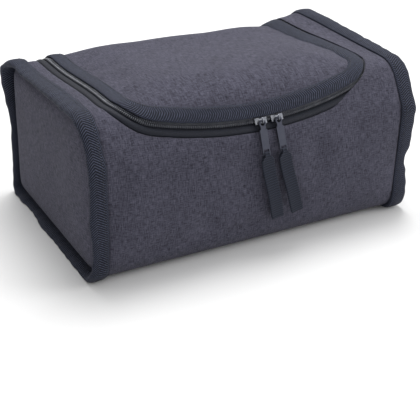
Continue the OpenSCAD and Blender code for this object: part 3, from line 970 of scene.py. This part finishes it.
# %% [markdown]
# ## The lid
# The lid is two cloths round a foam pad. Its cloth is cut like the opening but smaller, pinned
# where its edge is bound, and pressed up by the foam into a low dome. The dome could be a formula,
# but settled cloth puckers near the binding as real quilting does.

# %% Lid cloth
lid_in = 0.0146
crown = 0.0058


def lid_rise(x, s):
    """How far the dome stands above the bent cloth."""
    d = inset_of(x, s) - lid_in
    back = ease((hinge_s - s) / 0.045)
    return 0.0006 + crown * ease(d / 0.045) * back


lid_flat = cut_cloth(
    (-opening_x, front_rise), (opening_x, hinge_s - 0.0006), 0.005,
    lambda x, s: inset_of(x, s) - lid_in, lambda x, s: on_inset(x, s, lid_in))
flat = bend(lid_flat, lambda x, s: wrap(x, s, lid_rise(x, s)))
lid_cloth = finish_mesh("lid_cloth", lid_flat, outer_cloth, "lid")
pinned = [i for i, (x, s) in enumerate(flat)
          if inset_of(x, s) < 0.0225 or s > hinge_s - 0.002]
settle(lid_cloth, pinned, 2.5, 0.003, 0.0022)
thicken(lid_cloth, cloth_thick)
round_off(lid_cloth)
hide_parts("lid_panel")
print("the lid has", len(lid_cloth.data.vertices), "points")

# %% [markdown]
# The lid's edge is bound with the same herringbone tape as the rims, folded over the edge. Its
# loop is thinner than a rim's, since only two cloths lie inside it. Its outer edge hangs over the
# lid's half of the zip, which keeps water out of the coil.

# %% Lid binding
lid_loop = [
    (0.0136, -0.0008), (0.0132, 0.0011), (0.0116, 0.0014), (0.0111, 0.0020), (0.0118, 0.0028),
    (0.0145, 0.0032), (0.0185, 0.0031), (0.0222, 0.0025), (0.0240, 0.0014), (0.0239, 0.0006),
    (0.0200, 0.0007), (0.0150, 0.0004), (0.0146, -0.0008), (0.0140, -0.0014)]


def lid_tape(u, v):
    """Place on the lid's binding: u along it, v round its loop."""
    along = (u * 2 - 1) * (edge_half - 0.001)
    inset, n = round_loop(lid_loop, v)
    wave = noise.noise(Vector((along * 38.0, 2.2, 7.0)))
    side_wide = 0.10 * ease((abs(along) - long_arc) / 0.04)
    inset = 0.0134 + (inset - 0.0134) * (1 + 0.06 * wave + side_wide)
    if n > 0.001:
        n += 0.0003 * wave
    x, s = edge(along, inset)
    return wrap(x, s, n), (along, v * 0.024)


lid_edge = strip("lid_edge_tape", 420, 24, lid_tape, tape, "lid", closed=True, flip=True)
round_off(lid_edge)
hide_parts("lid_binding")
print("lid made")

# %% [markdown]
# ## The zip
# A coil zip is two spirals of nylon, each stitched to a tape. The tapes are thin strips that
# follow the opening. The coils are rows of small humps that mesh with each other, one for each
# turn of the spiral. A few hundred turns show, so each hump has only a few faces.

# %% Zip tapes


def zip_strip(name, first, last, depth, body, sign=1):
    """A flat tape between two insets, at a depth under the cloth's face."""
    def rule(u, v):
        along = (u * 2 - 1) * (edge_half - 0.0015)
        inset = first + (last - first) * v
        wave = 0.00012 * noise.noise(Vector((along * 55.0, inset * 300.0, sign)))
        x, s = edge(along, inset)
        return wrap(x, s, depth + wave), (along, inset)

    made = strip(name, 420, 6, rule, zip_cloth, body)
    thicken(made, 0.0006)
    round_off(made)
    return made


body_tape = zip_strip("zip_tape_at_body", -0.006, 0.00965, -0.0015, "bag")
lid_side_tape = zip_strip("zip_tape_at_lid", 0.01035, 0.0228, -0.0015, "lid", 2)
for made, node in ((body_tape, "zip_tape_body"), (lid_side_tape, "zip_tape_lid")):
    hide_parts(node)
print("zip tapes made")

# %% [markdown]
# The body's tape has a fold beside the coil, a narrow raised cord of tape that hides the stitches.
# A strip that arches up between its two edges is all it takes.

# %% Fold beside the coil


def welt(u, v):
    """A low rounded ridge on the body's tape."""
    along = (u * 2 - 1) * (edge_half - 0.002)
    inset = 0.0002 + v * 0.0064
    x, s = edge(along, inset)
    rise = math.sin(math.pi * v) ** 0.6 if 0 < v < 1 else 0.0
    wave = 0.00015 * noise.noise(Vector((along * 45.0, 8.0, 1.0)))
    return wrap(x, s, -0.0012 + 0.0017 * rise + wave), (along, inset)


fold = strip("zip_fold", 420, 10, welt, zip_cloth, "bag")
thicken(fold, 0.0005)
round_off(fold)
print("fold made")

# %% [markdown]
# Each turn of a coil shows as one hump of nylon, and each stitch as one bead of thread. Both are
# the same small round, stretched to size, so one helper adds it to a bmesh. The two halves of the
# chain are set half a pitch apart, which lets their humps mesh.

# %% Coils


def add_round(bm, middle, axes, size):
    """A small round at a place, stretched by size along its three axes."""
    turn_to = Matrix(axes).transposed().to_4x4()
    bmesh.ops.create_uvsphere(
        bm, u_segments=6, v_segments=4, radius=0.5,
        matrix=Matrix.Translation(middle) @ turn_to @ Matrix.Diagonal((*size, 1)))


def coil_row(name, near, far, body, offset, material):
    """Humps across one half of the chain, one for each turn of the coil."""
    pitch = 0.0016
    count = int(2 * (edge_half - 0.004) / pitch)
    bm = bmesh.new()
    for k in range(count):
        along = -edge_half + 0.004 + (k + offset) * pitch
        first = wrap(*edge(along, near), -0.0001)
        last = wrap(*edge(along, far), -0.0001)
        beyond = wrap(*edge(along + 0.0004, near), -0.0001)
        up = (wrap(*edge(along, near), 0.01) - wrap(*edge(along, near), 0.0)).normalized()
        across = last - first
        out = (beyond - first).normalized()
        add_round(bm, (first + last) / 2, (across.normalized(), out, up),
                  (across.length, 0.00105, 0.0019))
    return finish_mesh(name, bm, material, body)


coil_a = coil_row("coil_at_body", 0.0068, 0.0106, "bag", 0.0, coil_nylon)
coil_b = coil_row("coil_at_lid", 0.0094, 0.0132, "lid", 0.5, coil_nylon)
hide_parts("zip_coil_body")
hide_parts("zip_coil_lid")
print("zip made")

# %% [markdown]
# ## Stitches
# Stitches are what makes a seam look sewn. Each is a short bead of thread, half sunk in the cloth.
# One helper lays a row of them along any path, so each seam is one piece.

# %% Stitch rows


def beads(name, path, count, size, material, body):
    """Beads of thread at path(t), which gives a point, the way along and the way out."""
    bm = bmesh.new()
    for k in range(count):
        point, ahead, out = path((k + 0.5) / count)
        ahead = ahead.normalized()
        out = (out - ahead * out.dot(ahead)).normalized()
        add_round(bm, point, (ahead, out.cross(ahead), out), size)
    return finish_mesh(name, bm, material, body)


def line_path(a, b, out):
    """A straight path for beads."""
    a, b, out = Vector(a), Vector(b), Vector(out)
    return lambda t: (a.lerp(b, t), b - a, out)


stitch = (0.0022, 0.0006, 0.0005)
print(f"one stitch is {stitch[0] * 1000:.1f} mm long")

# %% [markdown]
# A seam path follows the same rules as the tape under it, raised to the tape's face, so the
# stitches cannot drift off it when a size changes.

# %% Seams


def lid_seam(t):
    """Along the inner edge of the lid's binding."""
    along = (t * 2 - 1) * (edge_half - 0.003)
    here = wrap(*edge(along, 0.0222), 0.0026)
    ahead = wrap(*edge(along + 0.0005, 0.0222), 0.0026) - here
    return here, ahead, wrap(*edge(along, 0.0222), 0.01) - here


def rim_seam(side):
    """Round a rim, near its inner edge."""
    def path(t):
        s = t * girth
        width, depth, lift = rim_shape(side, s)
        here = wrap(side * (half_l + 0.0030 * width), s, 0.0021 * depth + lift)
        ahead = wrap(side * (half_l + 0.0030 * width), s + 0.0005, 0.0021 * depth + lift) - here
        here.z = max(here.z, 0.0005)
        return here, ahead, wrap(here.x, s, 0.02) - wrap(here.x, s, 0.0)
    return path


beads("stitches_lid", lid_seam, 180, stitch, thread, "lid")
for side, name in ((-1, "left"), (1, "right")):
    beads(f"stitches_rim_{name}", rim_seam(side), 190, stitch, thread, "bag")
for name, offset, body in (("lid", -0.0022, "lid"), ("back", 0.0024, "bag")):
    spot = wrap(0, hinge_s + offset, 0.0)
    out = wrap(0, hinge_s + offset, 1.0) - spot
    rise = 0.0009 if body == "lid" else 0.0003
    spot += out * rise
    run = opening_x - 0.026 if body == "lid" else half_l - 0.004
    beads(f"stitches_hinge_{name}",
          line_path((-run, spot.y, spot.z), (run, spot.y, spot.z), out), 80, stitch, thread, body)
print("seams stitched")

# %% [markdown]
# ## Small hard parts
# The rigid model already has the true shapes of the sliders, pulls and hook, with their holes and
# pins. A copy of each gets its edges broken with a small bevel, since no cast or moulded part has
# a sharp one, and a highlight runs along the bevel.

# %% Dressed copies


def dressed(name, node, body, material, width, segments=2):
    """A bevelled copy of a rigid part, which stands for it."""
    bm = bmesh.new()
    bm.from_mesh(frame["nodes"][node].data)
    bmesh.ops.remove_doubles(bm, verts=bm.verts, dist=0.00001)
    bmesh.ops.dissolve_limit(bm, angle_limit=math.radians(2), verts=bm.verts, edges=bm.edges)
    bm.normal_update()
    made = finish_mesh(name, bm, material, body)
    made.data.set_sharp_from_angle(angle=math.radians(40))
    soft = made.modifiers.new("Broken edges", "BEVEL")
    soft.width = width
    soft.segments = segments
    soft.limit_method = "ANGLE"
    soft.angle_limit = math.radians(40)
    soft.harden_normals = True
    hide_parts(node)
    return made


for side in ("left", "right"):
    dressed(f"zip_slider_{side}", f"slider_{side}", f"slider_{side}", bright_metal, 0.0003)
    dressed(f"zip_puller_{side}", f"puller_{side}", f"puller_{side}", gun_metal, 0.00025)
dressed("small_slider", "pocket_slider", "pocket_slider", bright_metal, 0.0002)
dressed("small_puller", "pocket_puller", "pocket_puller", gun_metal, 0.00015)
dressed("hook_swivel_frame", "hook_frame", "hook_frame", hook_plastic, 0.0005, 3)
dressed("hanging_hook", "hook", "hook", hook_plastic, 0.0008, 3)
for node in ("front_foam", "back_foam", "end_foam_left", "end_foam_right"):
    pad = dressed("pad_" + node, node, "bag", foam, 0.0005)
dressed("stiff_board", "base_board", "bag", board, 0.0004)
print("small parts made")

# %% [markdown]
# ## Ribbon pulls
# Each puller carries a length of narrow webbing, doubled over the bar at the puller's foot. The
# ribbon hangs from the bar, whose place follows from the zip's arc: round the arc by the slider's
# angle, out to the slider's pin, and down the tab to its foot.

# %% Ribbons
chain_mid = wrap(0, front_rise + chain_in)
arc_r = front_r - chain_in
up_band = Vector((0, along_band[0], along_band[1]))
out_band = Vector((0, outward[0], outward[1]))
arc_centre = chain_mid + up_band * arc_r
hang = math.radians(22)
slant = math.radians(9)
pin_down, pin_out, tab_run = 0.00205, 0.004, 0.0272


def ribbon_frame(angle):
    """Frame at the bar in a puller's foot: x along the bar, -z down the ribbon."""
    basis = Matrix(((1, 0, 0), up_band, out_band)).transposed().to_4x4()
    place = Matrix.Translation(arc_centre) @ basis @ Matrix.Rotation(math.radians(angle), 4, "Z")
    place = place @ Matrix.Translation((0, -arc_r - pin_down, pin_out))
    place = place @ Matrix.Rotation(lean - math.pi / 2 - hang, 4, "X")
    return place @ Matrix.Translation((0, 0, -tab_run)) @ Matrix.Rotation(hang, 4, "X")


print("left ribbon hangs from", [round(v, 3) for v in ribbon_frame(-0.3).translation])

# %% [markdown]
# The webbing runs down the back of the ribbon, round the bar and down the front, so one strip
# makes both layers. It widens below the slot, leans, and curls a little on the way. A row of
# stitches across it, a bar tack, holds the layers together under the slot.

# %% Webbing pulls


def make_ribbon(side, angle, length, twist, stand):
    """A ribbon through one puller. Its foot stands off the cloth a little, and its middle may bow out."""
    body = f"ribbon_{side}"
    place = ribbon_frame(angle)
    loop_r = 0.00135
    quarter = math.pi / 2 * loop_r

    def rule(u, v):
        t = (v * 2 - 1) * (length + quarter)
        layer = math.copysign(1, t)
        d = abs(t)
        if d < quarter:
            y, down = -loop_r * math.sin(t / loop_r), -loop_r * math.cos(t / loop_r)
        else:
            down = d - quarter
            y = -layer * (loop_r - (loop_r - 0.00056) * ease(down / 0.007))
        half = 0.0022 + 0.0037 * ease(down / 0.006)
        across = (u * 2 - 1) * half
        lean_w = slant * ease((down + 0.0005) / 0.008)
        bow = twist * math.sin(math.pi * min(1.0, max(0.0, down / length)))
        curl = 0.0008 * math.sin(down * 120.0) * ease(down / 0.01)
        swing = 0.0042 * (max(0.0, down) / length) ** 2
        x = across * math.cos(lean_w) + down * math.sin(slant) + swing
        z = across * math.sin(lean_w) - down * math.cos(slant)
        cup = 0.0003 * (u * 2 - 1) ** 2 + stand * (max(0.0, down) / length) ** 0.8
        return place @ Vector((x, y - bow + curl - cup, z)), (t, across)

    made = strip(f"ribbon_webbing_{side}", 8, 150, rule, webbing, body)
    thicken(made, 0.0009, 0.0)
    round_off(made)
    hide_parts(body)
    down = 0.0095
    middle = Vector((down * math.sin(slant), -0.0012, -down * math.cos(slant)))
    width = Vector((math.cos(slant), 0, math.sin(slant))) * 0.0048
    first = place @ (middle - width)
    last = place @ (middle + width)
    out = place.to_3x3() @ Vector((0, -1, 0))
    beads(f"bartack_{side}", line_path(first, last, out), 7, (0.0011, 0.0013, 0.0005), thread, body)
    return made


make_ribbon("left", -0.3, 0.0615, 0.0012, 0.0024)
make_ribbon("right", 2.2, 0.0600, 0.0006, 0.0036)
print("ribbons made")

# %% [markdown]
# ## Trolley strap
# The strap on the back is a lined cloth band with elastic at each end, so it grips a case's handle
# rods. The band is a flat strip that bows a little, because the elastic pulls it unevenly.

# %% Strap
strap_low, strap_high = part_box("strap_panel")
strap_mid_z = (strap_low[2] + strap_high[2]) / 2
strap_half = strap_high[0]
strap_w = strap_high[2] - strap_low[2]


def strap_rule(u, v):
    x = (u * 2 - 1) * (strap_half + 0.0022)
    z = strap_mid_z + (v - 0.5) * strap_w
    bow = 0.0007 * noise.noise(Vector((x * 18.0, z * 26.0, 3.0)))
    edge_in = 0.0005 * (abs(v - 0.5) * 2) ** 6
    return Vector((x, strap_high[1] + bow - edge_in, z)), (x, z)


strap_cloth = strip("strap_band", 60, 20, strap_rule, outer_cloth, "strap", flip=True)
thicken(strap_cloth, 0.0022)
round_off(strap_cloth)
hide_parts("strap_panel")
print(f"strap band {2 * strap_half * 1000:.0f} x {strap_w * 1000:.0f} mm")

# %% [markdown]
# Two rows of stitches run along the band, close to its edges, where its lining is sewn on.

# %% Strap stitches
for name, z in (("low", strap_low[2] + 0.003), ("high", strap_high[2] - 0.003)):
    y = strap_high[1] + 0.0001
    beads(f"stitches_strap_{name}",
          line_path((-strap_half, y, z), (strap_half, y, z), (0, 1, 0)), 42, stitch, thread, "strap")

print("strap stitched")

# %% [markdown]
# Each elastic bends with the strap's body at one end and the bag's at the other, so it is blended
# between the two and stays joined when the strap is pulled. It is a little wavy, because elastic
# gathers when it is slack.

# %% Strap elastic
elastic_from, elastic_to = strap_half - 0.004, half_l - 0.006


def strap_elastic(side, name):
    """The elastic at one end of the strap."""

    def rule(u, v):
        x = elastic_from + (elastic_to - elastic_from) * u
        t = ease((x - strap_half) / (half_l - 0.022 - strap_half))
        y = strap_high[1] - 0.0008 - (strap_high[1] - 0.0008 - back_y - 0.0036) * t
        gather = 0.0004 * math.sin(u * 62.0) * math.sin(math.pi * u) ** 0.5
        z = strap_mid_z + (v - 0.5) * (strap_w - 0.004) * (1 - 0.05 * math.sin(math.pi * u))
        return Vector((side * x, y + gather, z)), (x, z)

    band = strip(f"strap_elastic_band_{name}", 70, 14, rule, elastic, None, flip=side > 0)
    thicken(band, 0.0014)
    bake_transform(band, "strap", "bag", (side * (strap_half + 0.002), back_y, strap_mid_z),
             (side * (half_l - 0.012), back_y, strap_mid_z))
    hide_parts(f"strap_elastic_{name}")


print(f"each elastic spans {(elastic_to - elastic_from) * 1000:.0f} mm")

# %% [markdown]
# A patch of tape covers each elastic's end on the back panel and spreads its pull. It is sewn down
# through all layers beside the rim.

# %% Strap ends


def strap_patch(side, name):
    """The patch over an elastic's end, with its row of stitches."""

    def rule(u, v):
        x = half_l - 0.0088 + 0.0088 * u
        z = strap_mid_z + (v - 0.5) * (strap_w + 0.002)
        wave = 0.0002 * noise.noise(Vector((x * 90.0, z * 60.0, 5.0)))
        return Vector((side * x, back_y + 0.0051 + wave, z)), (z, x)

    tag = strip(f"strap_patch_{name}", 10, 40, rule, tape, "bag", flip=side > 0)
    thicken(tag, 0.0012)
    round_off(tag)
    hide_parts(f"strap_anchor_{name}")
    x = side * (half_l - 0.0070)
    y = back_y + 0.0052
    beads(f"stitches_patch_{name}",
          line_path((x, y, strap_mid_z - 0.018), (x, y, strap_mid_z + 0.018), (0, 1, 0)),
          13, stitch, thread, "bag")


for side, name in ((-1, "left"), (1, "right")):
    strap_elastic(side, name)
    strap_patch(side, name)
print("strap made")

# %% [markdown]
# ## Inside
# The lining hangs inside the walls. It is cut a little large, so it creases. The creases are one
# noise that is stretched along the bag, and they fade out towards the seams that hold the cloth.

# %% Lining


def crease(x, s, size):
    """Soft folds that run mostly along the bag."""
    return size * noise.noise(Vector((x * 14.0, s * 34.0, 1.0)))


lining_x = half_l - 0.0044
lining_from, lining_to = hinge_s + 0.014, girth + 0.108


def lining_rule(u, v):
    x = (u * 2 - 1) * lining_x
    s = lining_from + (lining_to - lining_from) * v
    slack = min(1.0, (1 - abs(u * 2 - 1)) * 12, (1 - v) * 30, v * 30)
    return wrap(x, s, -0.0048 - max(0.0, crease(x, s, 0.0022)) * slack), (x, s)


inner = strip("lining_body", 70, 110, lining_rule, lining_cloth, "bag")
thicken(inner, lining_thick)
round_off(inner)
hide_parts("lining")
print(f"lining cut {2 * lining_x * 1000:.0f} mm wide")

# %% [markdown]
# Two walls of the same cloth close the lining at the ends. They are cut by the rule that cut the
# outer end panels, a little smaller.

# %% Lining ends
wall_top = top_z - 0.0120
for side, name in ((-1, "left"), (1, "right")):
    panel = cut_cloth((-back_y + 0.002, 0.002), (back_y - 0.002, wall_top), 0.006,
                      lambda y, z: end_depth(y, z) - 0.0036, lambda y, z: (y, z))

    def rule(y, z, side=side):
        return Vector((side * (half_l - 0.0050 - max(0.0, crease(y, z, 0.0016))), y, z))

    bend(panel, rule, flip=side > 0)
    wall = finish_mesh(f"lining_end_{name}", panel, lining_cloth, "bag")
    thicken(wall, lining_thick)
    round_off(wall)
print("lining ends made")

# %% [markdown]
# The lid has a lining of its own, drawn tight over its foam. Both are cut like the lid's cloth,
# each a little smaller than the one outside it, and the foam stops short of the hinge so that the
# lid can fold there.

# %% Lid lining and foam
under = cut_cloth(
    (-opening_x, front_rise), (opening_x, hinge_s - 0.002), 0.006,
    lambda x, s: inset_of(x, s) - 0.0236, lambda x, s: on_inset(x, s, 0.0236))
bend(under, lambda x, s: wrap(x, s, -0.0048), flip=True)
lid_under = finish_mesh("lining_lid", under, lining_cloth, "lid")
thicken(lid_under, lining_thick)
round_off(lid_under)
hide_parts("lid_lining")
pad = cut_cloth(
    (-opening_x, front_rise), (opening_x, hinge_s - 0.027), 0.006,
    lambda x, s: inset_of(x, s) - 0.0300, lambda x, s: on_inset(x, s, 0.0300))
bend(pad, lambda x, s: wrap(x, s, -0.0016 + 0.75 * (lid_rise(x, s) - 0.0006)))
lid_pad = finish_mesh("pad_lid_foam", pad, foam, "lid")
thicken(lid_pad, 0.0024)
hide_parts("lid_foam")
print("lid lined")

# %% [markdown]
# A tape covers the raw edges where the lid turns. It bends with the lid, so it is blended between
# the two bodies. Two small tabs, sewn to the body, cover the ends of the zip.

# %% Hinge tape and zip tabs


def hinge_rule(u, v):
    x = (u * 2 - 1) * (opening_x - 0.006)
    s = hinge_s - 0.008 + 0.019 * v
    return wrap(x, s, -0.0014), (x, s)


hinge_tape = strip("hinge_tape", 60, 20, hinge_rule, tape, None)
thicken(hinge_tape, 0.0007)
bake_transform(hinge_tape, "lid", "bag", wrap(0, hinge_s - 0.003), wrap(0, hinge_s + 0.003))
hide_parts("seam_tape_inside")

for side, name in ((-1, "left"), (1, "right")):
    def rule(u, v, side=side):
        x = side * (opening_x - 0.017 + 0.016 * u)
        s = hinge_s + 0.001 + 0.012 * v
        return wrap(x, s, 0.0010), (x, s)

    tab = strip(f"zip_end_{name}", 8, 8, rule, tape, "bag", flip=side < 0)
    thicken(tab, 0.0008)
    round_off(tab)
    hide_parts(f"zip_end_tab_{name}")
print("inside made")

# %% [markdown]
# ## Pocket under the lid
# A flat mesh pocket is sewn to the lid's lining, with a tape round it and a small zip along its
# front. The tape is one strip that runs round a rectangle, from its outer edge to its inner one,
# with its corners mitred as a sewer would fold them.

# %% Pocket edge
low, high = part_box("mesh_binding")
frame_w = 0.009


def frame_rule(u, v):
    """Round the pocket's edge by u, and in from it by v."""
    run_x, run_y = high[0] - low[0], high[1] - low[1]
    inset = frame_w * v
    lengths = (run_x, run_y, run_x, run_y)
    ends = [(low[0], low[1]), (high[0], low[1]), (high[0], high[1]), (low[0], high[1])]
    signs = [(1, 1), (-1, 1), (-1, -1), (1, -1)]
    at = (u * 4) % 4
    i = int(at)
    t = at - i
    a, b = ends[i], ends[(i + 1) % 4]
    sa, sb = signs[i], signs[(i + 1) % 4]
    x = (a[0] + sa[0] * inset) * (1 - t) + (b[0] + sb[0] * inset) * t
    y = (a[1] + sa[1] * inset) * (1 - t) + (b[1] + sb[1] * inset) * t
    return Vector((x, y, high[2] - 0.0011)), (sum(lengths[:i]) + t * lengths[i], inset)


pocket_edge = strip("pocket_edge_tape", 160, 5, frame_rule, tape, "lid", closed=True)
thicken(pocket_edge, 0.0010)
round_off(pocket_edge)
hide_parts("mesh_binding")
print("pocket edge made")

# %% [markdown]
# The mesh and the zip's tape are flat strips of the size of their rigid parts. The mesh hangs
# down a little between its edges, so that the pocket looks soft.

# %% Pocket mesh and tape


def flat_rule(node, sag=0.0):
    """A rule for a flat strip that fills a part's box from above, and the strip's size."""
    a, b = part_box(node)

    def rule(u, v):
        x = a[0] + (b[0] - a[0]) * u
        y = a[1] + (b[1] - a[1]) * v
        drop = sag * math.sin(math.pi * u) ** 0.5 * math.sin(math.pi * v)
        return Vector((x, y, b[2] - drop)), (x, y)
    return rule, (b[0] - a[0], b[1] - a[1])


rule, size = flat_rule("mesh_pocket", sag=0.0018)
pocket_net = strip("pocket_mesh", 60, 16, rule, net, "lid")
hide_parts("mesh_pocket")
rule, size = flat_rule("pocket_zip_tape")
pocket_tape = strip("pocket_zip_band", 60, 6, rule, zip_cloth, "lid")
thicken(pocket_tape, 0.0006)
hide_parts("pocket_zip_tape")
print(f"pocket mesh {size[0] * 1000:.0f} mm wide")

# %% [markdown]
# The pocket's coil is straight, so two rows of beads on straight paths make it. The rear row is
# shifted by half a pitch, as on the main zip.

# %% Pocket coil
coil_low, coil_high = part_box("pocket_zip_coil")
coil_y, coil_z = (coil_low[1] + coil_high[1]) / 2, (coil_low[2] + coil_high[2]) / 2
for name, side in (("front", -1), ("rear", 1)):
    y = coil_y + side * 0.0009
    start = 0.0 if side < 0 else 0.0008
    row = beads(f"pocket_coil_{name}",
                line_path((coil_low[0] + start, y, coil_z), (coil_high[0] + start, y, coil_z),
                          (0, 0, -1)), 98, (0.0010, 0.0026, 0.0014), coil_nylon, "lid")
    if side < 0:
        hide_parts("pocket_zip_coil")
print("pocket made")

# %% [markdown]
# ## Hook tab
# A length of webbing is sewn flat to the lid's lining and loops round the hook frame's bar. The
# loop is drawn as a path in a plane, and the webbing is swept across it.

# %% Hook tab
bar = Vector((0, (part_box("hook_tab")[0][1] + 0.0035), 0.1255))
loop_mid = 0.0028
lining_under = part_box("hook_tab")[1][2]
sewn_z = lining_under - 0.0021 - bar.z
heights = [
    Vector((0.030, sewn_z)), Vector((0.0105, sewn_z)), Vector((0.0050, 0.0034)),
    Vector((0.0, loop_mid))]
for k in range(1, 11):
    a = math.radians(90 + k * 18)
    heights.append(Vector((loop_mid * math.cos(a), loop_mid * math.sin(a))))
spans = [(b - a).length for a, b in zip(heights, heights[1:])]
total = sum(spans)


def tab_rule(u, v):
    """Across the webbing by u, and along its path by v."""
    at = v * total
    i = 0
    while i < len(spans) - 1 and at > spans[i]:
        at -= spans[i]
        i += 1
    p = heights[i].lerp(heights[i + 1], min(1.0, at / spans[i]))
    x = (u * 2 - 1) * 0.0088
    return Vector((x, bar.y + p.x, bar.z + p.y)), (v * total, x)


tab_web = strip("hook_webbing", 10, 70, tab_rule, webbing, "lid")
thicken(tab_web, 0.0013, 0.0)
round_off(tab_web)
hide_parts("hook_tab")
for k, y in enumerate((0.0150, 0.0250)):
    z = lining_under - 0.0029
    beads(f"stitches_hook_{k}",
          line_path((-0.0075, bar.y + y, z), (0.0075, bar.y + y, z), (0, 0, -1)),
          6, stitch, thread, "lid")
print("hook tab made")

# %% [markdown]
# ## Slump
# A shut bag that is only partly filled sinks along the back of its top, most of all between the
# lid and the right-hand rim's corner, which stands up. Every piece there has to sink together, so
# one rule is applied to all of them. It moves the hinge by about a millimetre, and the zip's front
# and the base not at all.
# The pocket under the lid sinks level, as if all of it were at one place, because its slider
# has to run straight along its coil.

# %% Slump


def sink(x, y, z):
    """How far a point of the top moves down."""
    middle = 0.0066 + 0.0022 * ease((x + 0.05) / 0.12)
    amount = middle - (middle + 0.0020) * ease((x - 0.098) / 0.050)
    return amount * ease((y + 0.045) / 0.10) * ease((z - 0.1190) / 0.0165)


small_parts = ("small_slider", "small_puller")
pocket_x, pocket_z = 0.070, 0.1315
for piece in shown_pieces():
    rides = set(body_of(piece) or ["none"])
    if piece.name in frame["nodes"] or piece.type != "MESH":
        continue
    if piece.name in small_parts or rides <= {"bag", "lid", "strap"}:
        for vert in piece.data.vertices:
            x, y, z = vert.co
            if piece.name in small_parts or piece.name.startswith("pocket_"):
                x, z = pocket_x, pocket_z
            vert.co.z -= sink(x, y, z)
print("top has sunk")

# %% [markdown]
# ## Floor and light
# A pale floor and a white surround give soft light from all sides, as in a light tent. One large
# lamp above and behind keeps the lid the brightest face, and a weaker one on the right lifts the
# front a little above the left end.

# %% Floor
bm = bmesh.new()
bmesh.ops.create_circle(bm, cap_ends=True, segments=64, radius=2.5)
bmesh.ops.translate(bm, verts=bm.verts, vec=(0, 0, -0.0004))
mesh = bpy.data.meshes.new("floor")
bm.to_mesh(mesh)
bm.free()
floor = bpy.data.objects.new("floor", mesh)
scene.collection.objects.link(floor)
floor_material, graph, shader = new_material("Pale floor", specular=0.2)
where = graph.node("ShaderNodeTexCoord").outputs["Object"]
graph.put(shader.inputs["Base Color"], graph.mix(
    graph.noise(where, 3.0), (0.73, 0.73, 0.73, 1), (0.77, 0.77, 0.77, 1)))
shader.inputs["Roughness"].default_value = 0.9
mesh.materials.append(floor_material)
print("floor laid")

# %% [markdown]
# An even white world takes the place of the tent's walls. The lamps are square and large, so that
# their shadows have soft edges.

# %% Light
world = bpy.data.worlds.new("Studio")
world.use_nodes = True
world.node_tree.nodes["Background"].inputs[0].default_value = (1.0, 1.0, 1.0, 1)
world.node_tree.nodes["Background"].inputs[1].default_value = 0.70
scene.world = world


def lamp(name, place, size, power):
    """A square area lamp that faces the bag."""
    data = bpy.data.lights.new(name, "AREA")
    data.size = size
    data.energy = power
    made = bpy.data.objects.new(name, data)
    place = Vector(place)
    facing = (Vector((0, 0, 0.06)) - place).to_track_quat("-Z", "Y")
    made.matrix_world = Matrix.Translation(place) @ facing.to_matrix().to_4x4()
    scene.collection.objects.link(made)


lamp("top_lamp", (0.2, 0.4, 1.5), 0.9, 24)
lamp("right_lamp", (1.25, -0.7, 0.7), 0.8, 9)
print("studio ready")
